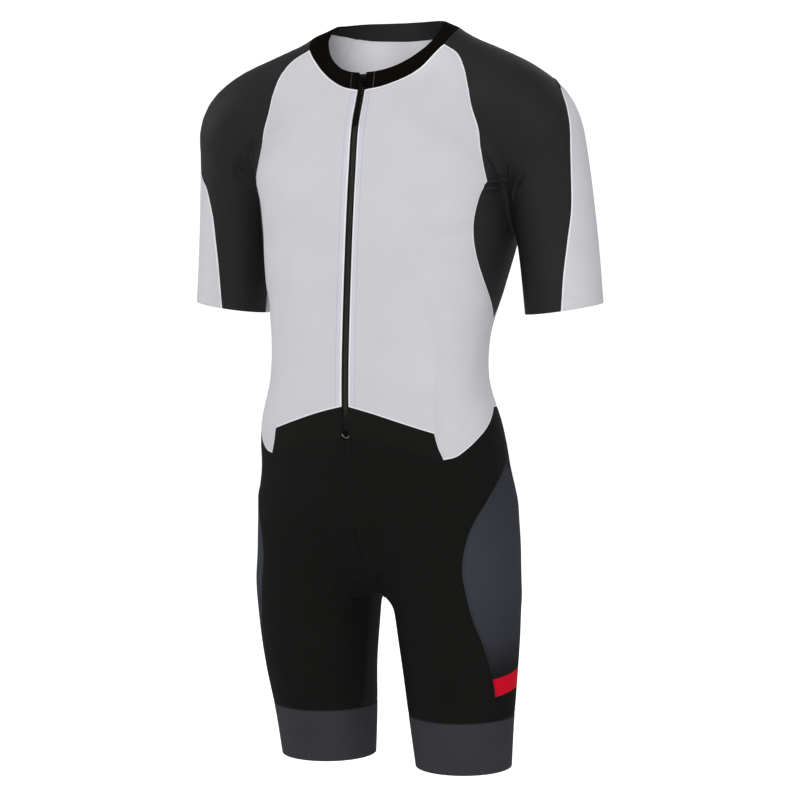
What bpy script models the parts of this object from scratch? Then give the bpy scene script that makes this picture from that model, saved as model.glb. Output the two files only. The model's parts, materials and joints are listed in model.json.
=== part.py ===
"""Short-sleeved triathlon suit with a front zip, worn and filled out, empty inside.

Metres, +Z up. The front faces -Y and the wearer's left is +X. The origin lies between the
shoulders at the base of the neck, where the wearer's shoulders hold the suit up.

The cloth lies on one smooth form: a trunk, two sleeves and two legs, each given by a short table
of sections. Seams are smooth curves on that form, and each cut piece is a grid laid between its
four seams, with the cloth's thickness turned inwards. The wearer's right is the left mirrored,
apart from the seam between the dark and the pale half of each sleeve and the lie of its cuff,
which turn with the arm.
"""

import math
from types import SimpleNamespace

import bmesh
import bpy
import numpy as np
from mathutils import Matrix, Vector

# ---------------------------------------------------------------- driving dimensions
CLOTH = 0.0016  # wall of the body, sleeve and leg panels
BAND_CLOTH = 0.0020  # neck band and leg grippers, which are doubled
SEAM_GAP = 0.0003  # left between two pieces that are sewn together
UNDERARM_GAP = 0.0010  # left by the side panel in the sharp fold under the arm
ZIP_HALF_GAP = 0.0047  # from the middle of the zip to the edge of the front panel
NECK_RIM_DROP = -0.036  # top of the neck band at the middle of the front
LEG_BAND_TOP = -0.811
LEG_HEM = -0.8785

TAPE_TOP = -0.037
TAPE_DEPTH = 0.0025  # from the face of the cloth down to the face of the zip tape
TAPE_CLOTH = 0.0008
TAPE_WIDTH = 0.0130
CHAIN_HALF_WIDTH = 0.0025
CHAIN_THICKNESS = 0.0015
ZIP_END = -0.460

SLIDER_HEIGHT = -0.0475  # of the slider's middle
SLIDER_LENGTH = 0.0110
SLIDER_WIDTH = 0.0076
SLIDER_NOSE = 0.0054
SLIDER_PROUD = 0.0013  # how far its top plate stands out of the face of the cloth
BRIDGE = SimpleNamespace(width=0.0014, thickness=0.0008, room=0.0022, length=0.0036)
PULL_BAR = 0.0012  # the square bar of the pull tab under the bridge
TAB_LENGTH = 0.0580
TAB_WIDTH = 0.0058
TAB_NECK = SimpleNamespace(width=0.0050, end=0.012, full_at=0.020)  # narrower beside the slider
TAB_CORNER = 0.0015
TAB_LIE = 0.94  # share of the tab's length that its tip lies below the slider, along the zip
TAB_EYE = SimpleNamespace(half_width=0.0012, far_end=0.0038)  # the hole that the bridge stands in
TAB_THICKNESS = 0.0012
TAB_TIP_LIFT = 0.0012  # the tip's clearance over the face of the cloth
STOP_SIZE = (0.0070, 0.0030, 0.0020)  # across, along the zip, and deep

# Blends between trunk, sleeves and legs.
SHOULDER_BLEND = 0.040
UNDERARM_BLEND = 0.014
CROTCH_BLEND = 0.030
SEAT_BLEND = 0.020
BETWEEN_LEGS_BLEND = 0.008
CROTCH_HEIGHT = -0.659
HIP_HEIGHT = -0.500
HIP_EASE = 0.060  # the legs join the trunk over this height
ARMPIT_HEIGHT = -0.175
ARMPIT_EASE = 0.050
WALL_REACH = 0.004  # a wall's direction is evened out over this distance
MITRE_LIMIT = 0.15  # least divisor, so a pointed corner isn't drawn in too far
WRAP_BELOW = -0.5  # radians; an angle below this goes the long way round
LEAST_X = 0.0030  # how near the middle of the body the shorts' inner points come
SLEEVE_FLATNESS = 0.88  # a sleeve's breadth over its depth from front to back


# ---------------------------------------------------------------- tables of sections
class Table:
    """Rows under named columns, read smoothly at any value of the first column."""

    def __init__(self, columns, rows):
        self.names = columns.split()
        rows = sorted(rows)
        self.key = np.array([row[0] for row in rows])
        self.values = np.array([row[1:] for row in rows])
        self.slopes = np.gradient(self.values, self.key, axis=0)

    def at(self, key):
        key = np.clip(key, self.key[0], self.key[-1])
        row = np.clip(np.searchsorted(self.key, key) - 1, 0, len(self.key) - 2)
        step = (self.key[1:] - self.key[:-1])[row]
        t = ((key - self.key[row]) / step)[..., None]
        step = step[..., None]
        value = (
            self.values[row] * (2 * t**3 - 3 * t**2 + 1)
            + self.slopes[row] * step * (t**3 - 2 * t**2 + t)
            + self.values[row + 1] * (3 * t**2 - 2 * t**3)
            + self.slopes[row + 1] * step * (t**3 - t**2)
        )
        return SimpleNamespace(**{name: value[..., i] for i, name in enumerate(self.names[1:])})


# front and back are the places of the section's two faces along Y. Squareness 2 is an ellipse, and
# below 2 the front runs more straight back from the stiff zip.
TRUNK = Table(
    "height half_width front back front_square back_square",
    [
        (0.080, 0.060, -0.040, 0.056, 2.0, 2.0),
        (0.040, 0.066, -0.044, 0.064, 2.0, 2.0),
        (0.010, 0.075, -0.050, 0.076, 1.55, 2.0),
        (-0.030, 0.093, -0.0545, 0.098, 1.45, 2.1),
        (-0.060, 0.117, -0.0645, 0.114, 1.95, 2.2),
        (-0.100, 0.142, -0.080, 0.128, 2.5, 2.5),
        (-0.150, 0.167, -0.088, 0.138, 2.9, 2.9),
        (-0.190, 0.162, -0.093, 0.138, 2.7, 2.7),
        (-0.230, 0.160, -0.097, 0.130, 2.4, 2.4),
        (-0.290, 0.150, -0.102, 0.107, 2.25, 2.25),
        (-0.350, 0.138, -0.106, 0.084, 2.2, 2.2),
        (-0.400, 0.138, -0.108, 0.080, 2.2, 2.2),
        (-0.460, 0.154, -0.107, 0.091, 2.2, 2.2),
        (-0.520, 0.158, -0.102, 0.112, 2.2, 2.2),
        (-0.570, 0.154, -0.094, 0.120, 2.2, 2.2),
        (-0.610, 0.149, -0.077, 0.116, 2.2, 2.2),
        (-0.650, 0.130, -0.050, 0.105, 2.2, 2.2),
    ],
)

LEG = Table(
    "height middle_x middle_y half_width half_depth squareness",
    [
        (-0.520, 0.082, 0.008, 0.068, 0.084, 2.2),
        (-0.600, 0.088, 0.008, 0.073, 0.087, 2.2),
        (-0.650, 0.0925, 0.009, 0.0765, 0.086, 2.1),
        (-0.700, 0.0945, 0.012, 0.0745, 0.080, 2.05),
        (-0.760, 0.0950, 0.017, 0.0695, 0.0735, 2.0),
        (-0.820, 0.0930, 0.026, 0.0640, 0.067, 2.0),
        (-0.900, 0.0925, 0.036, 0.0570, 0.060, 2.0),
    ],
)

# The middle line of a sleeve, from inside the shoulder to past the cuff.
SLEEVE = Table(
    "station x y z radius",
    [
        (0, 0.040, 0.020, -0.010, 0.040),
        (1, 0.085, 0.018, -0.030, 0.044),
        (2, 0.132, 0.012, -0.0525, 0.0475),
        (3, 0.172, 0.002, -0.0740, 0.0495),
        (4, 0.197, 0.003, -0.098, 0.0500),
        (5, 0.206, 0.014, -0.140, 0.0485),
        (6, 0.217, 0.025, -0.240, 0.047),
        (7, 0.225, 0.028, -0.330, 0.046),
        (8, 0.229, 0.030, -0.380, 0.0455),
    ],
)

# Lines inside the body that the panels are laid around.
TRUNK_LINE = Table("station x y z", [(0, 0, 0.012, 0.020), (1, 0, 0.010, -0.250), (2, 0, -0.005, -0.520)])
HIP_LINE = Table(
    "station x y z",
    [
        (0, 0.045, -0.010, -0.430),
        (1, 0.060, 0.000, -0.520),
        (2, 0.078, 0.008, -0.590),
        (3, 0.088, 0.012, -0.650),
        (4, 0.092, 0.020, -0.730),
        (5, 0.092, 0.028, -0.820),
        (6, 0.092, 0.034, -0.900),
    ],
)
SLEEVE_CUFF = SimpleNamespace(x=0.2243, y=0.0277, half_width=0.046, half_depth=0.052)
CUFF_LIE = {  # height of its middle, how much higher its outer side is, and how much lower its front
    "left": SimpleNamespace(z=-0.3157, tilt=0.0055, dip=0.0045),
    "right": SimpleNamespace(z=-0.3172, tilt=0.0075, dip=0.0),
}

# ---------------------------------------------------------------- seams, wearer's left
# Each seam is a list of places (x, y, z) that the line passes near; it is then settled on the form.
NECK_FRONT = [
    (0.0047, -0.0625, -0.057),
    (0.0234, -0.0589, -0.0534),
    (0.0395, -0.0497, -0.0475),
    (0.0585, -0.0352, -0.0370),
    (0.0735, -0.0300, -0.0225),
    (0.0895, -0.0215, -0.0040),
]
NECK_SHOULDER = [
    (0.0895, -0.0215, -0.0040),
    (0.0925, -0.008, 0.006),
    (0.091, 0.010, 0.0125),
    (0.081, 0.028, 0.014),
]
NECK_BEHIND = [(0.081, 0.028, 0.014), (0.074, 0.042, 0.014), (0.064, 0.054, 0.013)]
NECK_BACK = [(0.064, 0.054, 0.013), (0.042, 0.068, 0.012), (0.021, 0.074, 0.012), (0.0, 0.076, 0.012)]
RAGLAN_FRONT = [
    (0.0895, -0.0215, -0.0040),
    (0.107, -0.021, -0.018),
    (0.121, -0.028, -0.035),
    (0.132, -0.035, -0.058),
    (0.137, -0.038, -0.080),
    (0.142, -0.043, -0.102),
    (0.148, -0.049, -0.126),
    (0.154, -0.049, -0.147),
    (0.158, -0.045, -0.166),
]
RAGLAN_BACK = [
    (0.064, 0.054, 0.013),
    (0.086, 0.068, -0.006),
    (0.104, 0.080, -0.030),
    (0.119, 0.088, -0.060),
    (0.132, 0.094, -0.095),
    (0.145, 0.092, -0.130),
    (0.156, 0.080, -0.166),
]
UNDERARM_FRONT = [
    (0.158, -0.045, -0.166),
    (0.163, -0.028, -0.165),
    (0.166, -0.010, -0.184),
    (0.1645, 0.005, -0.208),
    (0.1635, 0.020, -0.230),
]
UNDERARM_BACK = [
    (0.1635, 0.020, -0.230),
    (0.165, 0.036, -0.206),
    (0.166, 0.050, -0.184),
    (0.162, 0.066, -0.172),
    (0.156, 0.080, -0.166),
]
SIDE_PANEL_FRONT = [
    (0.158, -0.045, -0.166),
    (0.150, -0.050, -0.186),
    (0.143, -0.052, -0.209),
    (0.140, -0.049, -0.235),
    (0.140, -0.040, -0.262),
    (0.140, -0.025, -0.288),
    (0.139, -0.006, -0.310),
    (0.137, 0.010, -0.326),
]
SIDE_PANEL_BACK = [
    (0.156, 0.080, -0.166),
    (0.150, 0.086, -0.190),
    (0.146, 0.084, -0.215),
    (0.142, 0.077, -0.245),
    (0.140, 0.061, -0.275),
    (0.139, 0.038, -0.303),
    (0.137, 0.010, -0.326),
]
SIDE = [(0.137, 0.010, -0.326), (0.136, 0.004, -0.365), (0.138, 0.000, -0.400), (0.144, -0.002, -0.434)]
SLEEVE_INSIDE = [
    (0.1635, 0.020, -0.230),
    (0.170, 0.024, -0.252),
    (0.1745, 0.027, -0.285),
    (0.1783, 0.0277, -0.327),
]
SLEEVE_SEAM_LEFT = [
    (0.081, 0.028, 0.014),
    (0.110, 0.046, -0.005),
    (0.145, 0.050, -0.022),
    (0.178, 0.041, -0.034),
    (0.207, 0.021, -0.0435),
    (0.224, 0.001, -0.052),
    (0.236, -0.010, -0.069),
    (0.2435, -0.0150, -0.090),
    (0.2468, -0.0158, -0.115),
    (0.2474, -0.0148, -0.155),
    (0.2480, -0.0148, -0.200),
    (0.2450, -0.0180, -0.235),
    (0.2410, -0.0208, -0.275),
    (0.2385, -0.0218, -0.3150),
]
SLEEVE_SEAM_RIGHT = [
    (0.081, 0.028, 0.014),
    (0.110, 0.046, -0.005),
    (0.145, 0.050, -0.022),
    (0.178, 0.046, -0.038),
    (0.210, 0.038, -0.058),
    (0.238, 0.022, -0.085),
    (0.248, 0.004, -0.110),
    (0.246, -0.012, -0.136),
    (0.231, -0.029, -0.163),
    (0.222, -0.030, -0.196),
    (0.218, -0.027, -0.240),
    (0.2132, -0.0228, -0.3190),
]
CUFF_SEAM_ANGLE = {"left": 72.0, "right": 104.0}  # degrees from the outer side towards the front
WAIST_TOP = [
    (0.0047, -0.110, -0.431),
    (0.033, -0.108, -0.438),
    (0.072, -0.099, -0.450),
    (0.104, -0.083, -0.461),
]
WAIST_END = [(0.104, -0.083, -0.461), (0.107, -0.080, -0.476), (0.113, -0.076, -0.492)]
WAIST_BOTTOM = [
    (0.0, -0.107, -0.469),
    (0.028, -0.106, -0.471),
    (0.052, -0.102, -0.475),
    (0.075, -0.094, -0.482),
    (0.096, -0.084, -0.489),
    (0.113, -0.076, -0.492),
]
POINT_OUTER = [
    (0.113, -0.076, -0.492),
    (0.124, -0.067, -0.489),
    (0.133, -0.057, -0.480),
    (0.141, -0.043, -0.467),
    (0.146, -0.025, -0.452),
    (0.144, -0.002, -0.434),
]
WAIST_BACK = [
    (0.144, -0.002, -0.434),
    (0.137, 0.034, -0.434),
    (0.112, 0.065, -0.433),
    (0.06, 0.083, -0.432),
    (0, 0.088, -0.432),
]
CENTRE_FRONT = [
    (0, -0.107, -0.469),
    (0, -0.104, -0.510),
    (0, -0.097, -0.555),
    (0, -0.085, -0.590),
    (0, -0.068, -0.620),
    (0, -0.042, -0.648),
    (0, -0.004, -0.665),
]
CENTRE_BACK = [
    (0, 0.088, -0.432),
    (0, 0.097, -0.470),
    (0, 0.115, -0.520),
    (0, 0.122, -0.570),
    (0, 0.112, -0.615),
    (0, 0.078, -0.650),
    (0, 0.036, -0.664),
    (0, -0.004, -0.665),
]
INSIDE_LEG = [(0, -0.004, -0.665), (0.011, -0.002, -0.690), (0.018, 0.002, -0.730), (0.024, 0.005, -0.770)]
HIP_SIDE = [(0.144, -0.002, -0.434), (0.149, 0.004, -0.465), (0.153, 0.010, -0.500)]
THIGH_FRONT = [
    (0.153, 0.010, -0.500),
    (0.155, -0.028, -0.532),
    (0.150, -0.052, -0.556),
    (0.142, -0.063, -0.579),
    (0.136, -0.066, -0.600),
    (0.133, -0.066, -0.624),
    (0.134, -0.060, -0.650),
    (0.138, -0.050, -0.682),
    (0.144, -0.037, -0.712),
    (0.148, -0.024, -0.745),
    (0.150, -0.012, -0.778),
]
THIGH_BACK = [
    (0.153, 0.010, -0.500),
    (0.157, 0.050, -0.535),
    (0.152, 0.078, -0.565),
    (0.143, 0.092, -0.600),
    (0.139, 0.095, -0.640),
    (0.140, 0.088, -0.690),
    (0.146, 0.075, -0.740),
    (0.150, 0.062, -0.780),
]
LEG_SEAM_ANGLES = SimpleNamespace(inside=162.0, thigh_front=30.0, thigh_back=-25.0)  # as CUFF_SEAM_ANGLE
NECK_RIM = [
    (0.0047, -0.0595, NECK_RIM_DROP),
    (0.0170, -0.0560, -0.0345),
    (0.0335, -0.0480, -0.0295),
    (0.0471, -0.0385, -0.0217),
    (0.0590, -0.0265, -0.0109),
    (0.0662, -0.0160, -0.0016),
    (0.0715, -0.0065, 0.0085),
    (0.0742, 0.0035, 0.0190),
    (0.0728, 0.0150, 0.0265),
    (0.0660, 0.0340, 0.0300),
    (0.0480, 0.0520, 0.0330),
    (0.0240, 0.0630, 0.0338),
    (0.0, 0.0660, 0.0338),
]

# How many steps each seam is cut into. Pieces that meet along a seam share its points.
STEPS = SimpleNamespace(
    neck_front=11,
    neck_shoulder=10,
    neck_behind=12,
    neck_back=11,
    raglan=9,
    underarm=6,
    side_panel=9,
    side=6,
    sleeve_inside=8,
    waist_top=5,
    waist_end=2,
    point_outer=4,
    waist_back=11,
    centre=10,
    inside_leg=8,
    hip_side=4,
    thigh=14,
    thigh_bottom=6,
    leg_band_rows=3,
    neck_band_rows=2,
    zip=25,
)

FABRICS = {  # name: colour, roughness
    "cloth_white": ((0.60, 0.62, 0.66), 0.75),
    "cloth_black": ((0.012, 0.012, 0.013), 0.70),
    "cloth_dark_grey": ((0.040, 0.042, 0.052), 0.75),
    "cloth_printed": ((0.055, 0.060, 0.080), 0.75),
    "zip_tape": ((0.010, 0.010, 0.010), 0.80),
    "zip_plastic": ((0.030, 0.034, 0.030), 0.45),
    "zip_metal": ((0.020, 0.020, 0.020), 0.35),
}


# ---------------------------------------------------------------- the form under the cloth
def blend(a, b, width):
    """The union of two fields with a soft inner corner."""
    share = np.clip(0.5 + 0.5 * (b - a) / width, 0, 1)
    return b * (1 - share) + a * share - width * share * (1 - share)


def ease(t):
    t = np.clip(t, 0, 1)
    return t * t * (3 - 2 * t)


def section_field(x, y, half_width, half_depth, squareness):
    reach = np.abs(x / half_width) ** squareness + np.abs(y / half_depth) ** squareness
    return (reach ** (1 / squareness) - 1) * np.minimum(half_width, half_depth)


def trunk_field(p):
    row = TRUNK.at(p[..., 2])
    middle = (row.front + row.back) / 2
    depth = (row.back - row.front) / 2
    squareness = np.where(p[..., 1] < middle, row.front_square, row.back_square)
    return section_field(p[..., 0], p[..., 1] - middle, row.half_width, depth, squareness)


def leg_field(p):
    row = LEG.at(p[..., 2])
    x, y = p[..., 0] - row.middle_x, p[..., 1] - row.middle_y
    return section_field(x, y, row.half_width, row.half_depth, row.squareness)


def line_of(table, pieces=4):
    """A table's middle line as a dense run of points, with its radius if it has one."""
    last = table.key[-1]
    row = table.at(np.linspace(0, last, int(last) * pieces + 1))
    columns = [row.x, row.y, row.z] + ([row.radius] if hasattr(row, "radius") else [])
    return np.stack(columns, axis=-1)


def sleeve_field(p):
    flat = np.array([1, SLEEVE_FLATNESS, 1])
    p = p * flat
    line = line_of(SLEEVE)
    nearest = np.full(p.shape[:-1], np.inf)
    for start, end in zip(line[:-1], line[1:]):
        a, b = start[:3] * flat, end[:3] * flat
        along = np.clip(((p - a) @ (b - a)) / ((b - a) @ (b - a)), 0, 1)
        away = np.linalg.norm(p - a - along[..., None] * (b - a), axis=-1)
        nearest = np.minimum(nearest, away - start[3] - along * (end[3] - start[3]))
    return nearest


def field(p):
    """Below zero inside the form and above zero outside it."""
    p = np.concatenate([np.abs(p[..., :1]), p[..., 1:]], axis=-1)
    z = p[..., 2]
    trunk = -blend(-trunk_field(p), z - CROTCH_HEIGHT, SEAT_BLEND)
    above_arm = ease((z - ARMPIT_HEIGHT) / ARMPIT_EASE)
    arm_blend = UNDERARM_BLEND + (SHOULDER_BLEND - UNDERARM_BLEND) * above_arm
    body = blend(trunk, sleeve_field(p), arm_blend)
    legs = blend(leg_field(p), leg_field(p * np.array([-1, 1, 1])), BETWEEN_LEGS_BLEND)
    legs = np.where(z < HIP_HEIGHT, legs, 1.0)
    lower = ease((HIP_HEIGHT - z) / HIP_EASE)
    return body * (1 - lower) + blend(body, legs, CROTCH_BLEND) * lower


def slope(p, reach=0.0002):
    steps = np.eye(3) * reach
    return np.stack([field(p + s) - field(p - s) for s in steps], axis=-1) / (2 * reach)


def outward(p, reach=0.0002):
    """The form's outward direction. A longer reach evens it out over a sharp inner corner."""
    gradient = slope(p, reach)
    return gradient / np.linalg.norm(gradient, axis=-1, keepdims=True)


def settle(p, rounds=12, longest=0.010):
    """Moves points straight onto the form's surface, each round by no more than the longest step."""
    for _ in range(rounds):
        gradient = slope(p)
        size = np.linalg.norm(gradient, axis=-1, keepdims=True)
        move = np.clip(field(p)[..., None] / size, -longest, longest)
        p = p - move * gradient / size
    return p


# ---------------------------------------------------------------- seams
def smooth_through(places, pieces=24):
    """A dense smooth line through the given places."""
    places = np.array(places, float)
    lengths = np.linalg.norm(np.diff(places, axis=0), axis=1)
    key = np.concatenate([[0], np.cumsum(lengths)])
    table = Table("along x y z", [tuple([k, *place]) for k, place in zip(key, places)])
    row = table.at(np.linspace(0, key[-1], (len(places) - 1) * pieces + 1))
    return np.stack([row.x, row.y, row.z], axis=-1)


def even_steps(line, steps):
    lengths = np.linalg.norm(np.diff(line, axis=0), axis=1)
    along = np.concatenate([[0], np.cumsum(lengths)])
    wanted = np.linspace(0, along[-1], steps + 1)
    return np.stack([np.interp(wanted, along, line[:, i]) for i in range(3)], axis=-1)


def seam(places, steps):
    return settle(even_steps(settle(smooth_through(places), rounds=6), steps))


def ring(middle, half_width, half_depth, start, end, steps, tilt=0.0, dip=0.0):
    """Part of an oval at the end of a sleeve or leg. Degrees run from the outer side to the front."""
    angle = np.radians(np.linspace(start, end, steps + 1))
    places = np.stack(
        [
            middle[0] + half_width * np.cos(angle),
            middle[1] - half_depth * np.sin(angle),
            middle[2] + tilt * np.cos(angle) - dip * np.sin(angle),
        ],
        axis=-1,
    )
    return settle(places)


def joined(*lines):
    """Seams that follow each other, as one line."""
    return np.concatenate([lines[0]] + [line[1:] for line in lines[1:]])


def zip_edge(top, bottom, x, steps):
    """The straight edge beside the zip, at a fixed distance from its middle."""
    heights = np.linspace(top, bottom, steps + 1)
    return hold_x(np.stack([np.full_like(heights, x), TRUNK.at(heights).front, heights], axis=-1))


def hold_x(p, rounds=8):
    """Settles points by moving them along Y alone."""
    p = p.copy()
    for _ in range(rounds):
        p[..., 1] -= field(p) / slope(p)[..., 1]
    return p


def leg_ring(height, start, end, steps):
    row = LEG.at(np.array(height))
    middle = (row.middle_x, row.middle_y, height)
    return ring(middle, row.half_width, row.half_depth, start, end, steps)


def cuff_ring(side, start, end, steps):
    cuff, lie = SLEEVE_CUFF, CUFF_LIE[side]
    middle = (cuff.x, cuff.y, lie.z)
    return ring(middle, cuff.half_width, cuff.half_depth, start, end, steps, lie.tilt, lie.dip)


# ---------------------------------------------------------------- laying a panel
def nearest_station(line, p):
    """How far along a dense line each point lies, as a share of its length in steps."""
    starts, ends = line[:-1, :3], line[1:, :3]
    span = ends - starts
    along = np.einsum("psk,sk->ps", p[:, None] - starts, span) / (span**2).sum(-1)
    along = np.clip(along, 0, 1)
    away = np.linalg.norm(p[:, None] - starts - along[..., None] * span, axis=-1)
    best = away.argmin(axis=1)
    return best + along[np.arange(len(p)), best]


def along_line(line, station):
    low = np.clip(station.astype(int), 0, len(line) - 2)
    share = (station - low)[:, None]
    span = (line[1:] - line[:-1])[low, :3]
    return line[low, :3] + share * span, span / np.linalg.norm(span, axis=1, keepdims=True)


def lay(left, right, top, bottom, inner_line, turn, least_x=-1.0):
    """A grid of points on the form, rows from the left seam to the right one round an inner line.

    turn is 1 or -1, the way round that line. The top and bottom seams then pull the rows to them.
    least_x keeps a piece that ends at the middle of the body on its own side of it.
    """
    station = (nearest_station(inner_line, left) + nearest_station(inner_line, right)) / 2
    origin, axis = along_line(inner_line, station)
    rise_left = ((left - origin) * axis).sum(-1, keepdims=True)
    rise_right = ((right - origin) * axis).sum(-1, keepdims=True)
    arm_left = left - origin - rise_left * axis
    arm_right = right - origin - rise_right * axis
    reach_left = np.linalg.norm(arm_left, axis=1, keepdims=True)
    first = arm_left / reach_left
    second = np.cross(axis, first) * turn
    angle = np.arctan2((arm_right * second).sum(-1), (arm_right * first).sum(-1))
    angle = np.where(angle < WRAP_BELOW, angle + 2 * math.pi, angle)

    share = np.linspace(0, 1, len(top))[:, None]
    reach_right = np.linalg.norm(arm_right, axis=1, keepdims=True)
    rise = rise_left[:, None] * (1 - share) + rise_right[:, None] * share
    reach = reach_left[:, None] * (1 - share) + reach_right[:, None] * share
    swing = angle[:, None, None] * share
    direction = first[:, None] * np.cos(swing) + second[:, None] * np.sin(swing)
    grid = origin[:, None] + axis[:, None] * rise + direction * reach

    down = np.linspace(0, 1, len(left))[:, None, None]
    grid = grid + (1 - down) * (top - grid[0]) + down * (bottom - grid[-1])
    grid[..., 0] = np.maximum(grid[..., 0], least_x)
    grid = settle(grid)
    grid[:, 0], grid[:, -1], grid[0], grid[-1] = left, right, top, bottom
    return grid


def border_of(rows, columns):
    """The indices round the edge of a grid, in order."""
    edge = [(0, i) for i in range(columns)]
    edge += [(j, columns - 1) for j in range(1, rows)]
    edge += [(rows - 1, i) for i in range(columns - 2, -1, -1)]
    edge += [(j, 0) for j in range(rows - 2, 0, -1)]
    return edge


def draw_in(grid, normals, distance):
    """Moves a grid's edge inwards in the cloth, by half the gap of a seam, with mitred corners."""
    grid = grid.copy()
    edge = border_of(*grid.shape[:2])
    points = np.array([grid[index] for index in edge])
    keep = np.linalg.norm(points - np.roll(points, 1, axis=0), axis=1) > 1e-6
    corner_of = np.cumsum(keep) - 1
    keep = np.flatnonzero(keep)
    corner = points[keep]
    normal = np.array([normals[edge[k]] for k in keep])
    before = corner - np.roll(corner, 1, axis=0)
    after = np.roll(corner, -1, axis=0) - corner
    side_before, side_after = np.cross(normal, before), np.cross(normal, after)
    side_before /= np.linalg.norm(side_before, axis=1, keepdims=True)
    side_after /= np.linalg.norm(side_after, axis=1, keepdims=True)
    if ((side_before + side_after) * (corner.mean(axis=0) - corner)).sum() < 0:
        side_before, side_after = -side_before, -side_after
    agreement = 1 + (side_before * side_after).sum(-1, keepdims=True)
    distance = np.broadcast_to(distance, grid.shape[:2])
    distance = np.array([[distance[edge[k]]] for k in keep])
    moved = corner + distance * (side_before + side_after) / np.maximum(agreement, MITRE_LIMIT)
    for index, place in zip(edge, corner_of):
        grid[index] = moved[place]
    return grid


def mirrored(points):
    return points * np.array([-1, 1, 1])


# ---------------------------------------------------------------- solids
def material(name):
    found = bpy.data.materials.get(name)
    if found:
        return found
    made = bpy.data.materials.new(name)
    made.use_nodes = True
    colour, roughness = FABRICS[name]
    shader = made.node_tree.nodes["Principled BSDF"]
    shader.inputs["Base Color"].default_value = (*colour, 1)
    shader.inputs["Roughness"].default_value = roughness
    shader.inputs["Metallic"].default_value = 0.0
    return made


def add_object(name, bm, fabric, smooth_angle=40):
    mesh = bpy.data.meshes.new(name)
    bm.to_mesh(mesh)
    bm.free()
    mesh.shade_smooth()
    mesh.set_sharp_from_angle(angle=math.radians(smooth_angle))
    mesh.materials.append(material(fabric))
    made = bpy.data.objects.new(name, mesh)
    bpy.context.scene.collection.objects.link(made)
    return made


def cloth_wall(name, grid, normals, thickness, fabric):
    """A flat grid is moved onto the laid points, and extruded inwards by the cloth's thickness."""
    rows, columns = grid.shape[:2]
    bm = bmesh.new()
    bmesh.ops.create_grid(bm, x_segments=columns - 1, y_segments=rows - 1, size=0.5)
    inward = {}
    for vert in bm.verts:
        column = round((vert.co.x + 0.5) * (columns - 1))
        row = round((vert.co.y + 0.5) * (rows - 1))
        vert.co = Vector(grid[row, column])
        inward[vert.co.to_tuple(7)] = Vector(-normals[row, column] * thickness)
    bmesh.ops.remove_doubles(bm, verts=bm.verts[:], dist=1e-6)
    made = bmesh.ops.extrude_face_region(bm, geom=bm.faces[:], use_keep_orig=True)
    for vert in (item for item in made["geom"] if isinstance(item, bmesh.types.BMVert)):
        vert.co += inward[vert.co.to_tuple(7)]
    bmesh.ops.recalc_face_normals(bm, faces=bm.faces[:])
    return add_object(name, bm, fabric)


def panel(name, grid, fabric, thickness=CLOTH, top_gap=SEAM_GAP / 2):
    distance = np.full(grid.shape[:2], SEAM_GAP / 2)
    distance[0] = top_gap
    normals = outward(grid, WALL_REACH)
    return cloth_wall(name, draw_in(grid, normals, distance), normals, thickness, fabric)


def panel_pair(stem, grid, fabric, thickness=CLOTH, top_gap=SEAM_GAP / 2):
    panel(f"{stem}_left", grid, fabric, thickness, top_gap)
    panel(f"{stem}_right", mirrored(grid), fabric, thickness, top_gap)


# ---------------------------------------------------------------- the cut pieces
def body_seams():
    """Every seam on the wearer's left that two or more pieces share."""
    s = SimpleNamespace()
    s.neck_front = seam(NECK_FRONT, STEPS.neck_front)
    s.neck_shoulder = seam(NECK_SHOULDER, STEPS.neck_shoulder)
    s.neck_behind = seam(NECK_BEHIND, STEPS.neck_behind)
    s.neck_back = seam(NECK_BACK, STEPS.neck_back)
    s.raglan_front = seam(RAGLAN_FRONT, STEPS.raglan)
    s.raglan_back = seam(RAGLAN_BACK, STEPS.raglan)
    s.underarm_front = seam(UNDERARM_FRONT, STEPS.underarm)
    s.underarm_back = seam(UNDERARM_BACK, STEPS.underarm)
    s.side_front = seam(SIDE_PANEL_FRONT, STEPS.side_panel)
    s.side_back = seam(SIDE_PANEL_BACK, STEPS.side_panel)
    s.side = seam(SIDE, STEPS.side)
    s.sleeve_inside = seam(SLEEVE_INSIDE, STEPS.sleeve_inside)
    s.waist_top = seam(WAIST_TOP, STEPS.waist_top)
    s.waist_end = seam(WAIST_END, STEPS.waist_end)
    s.waist_bottom = seam(WAIST_BOTTOM, STEPS.waist_top)
    s.point_outer = seam(POINT_OUTER, STEPS.point_outer)
    s.waist_back = seam(WAIST_BACK, STEPS.waist_back)
    s.centre_front = seam(CENTRE_FRONT, STEPS.centre)
    s.centre_back = seam(CENTRE_BACK, STEPS.centre)
    s.hip_side = seam(HIP_SIDE, STEPS.hip_side)
    angles = LEG_SEAM_ANGLES
    steps = STEPS.waist_top + STEPS.point_outer
    s.leg_front = leg_ring(LEG_BAND_TOP, angles.inside, angles.thigh_front, steps)
    s.leg_side = leg_ring(LEG_BAND_TOP, angles.thigh_front, angles.thigh_back, STEPS.thigh_bottom)
    s.leg_back = leg_ring(LEG_BAND_TOP, angles.thigh_back, angles.inside - 360, STEPS.waist_back)
    s.inside_leg = seam(INSIDE_LEG + [tuple(s.leg_front[0])], STEPS.inside_leg)
    s.thigh_front = seam(THIGH_FRONT + [tuple(s.leg_front[-1])], STEPS.thigh)
    s.thigh_back = seam(THIGH_BACK + [tuple(s.leg_side[-1])], STEPS.thigh)
    steps = STEPS.raglan + STEPS.side_panel + STEPS.side
    s.zip_edge = zip_edge(s.neck_front[0][2], s.waist_top[0][2], ZIP_HALF_GAP, steps)
    s.neck_front[0], s.waist_top[0] = s.zip_edge[0], s.zip_edge[-1]
    return s


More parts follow.
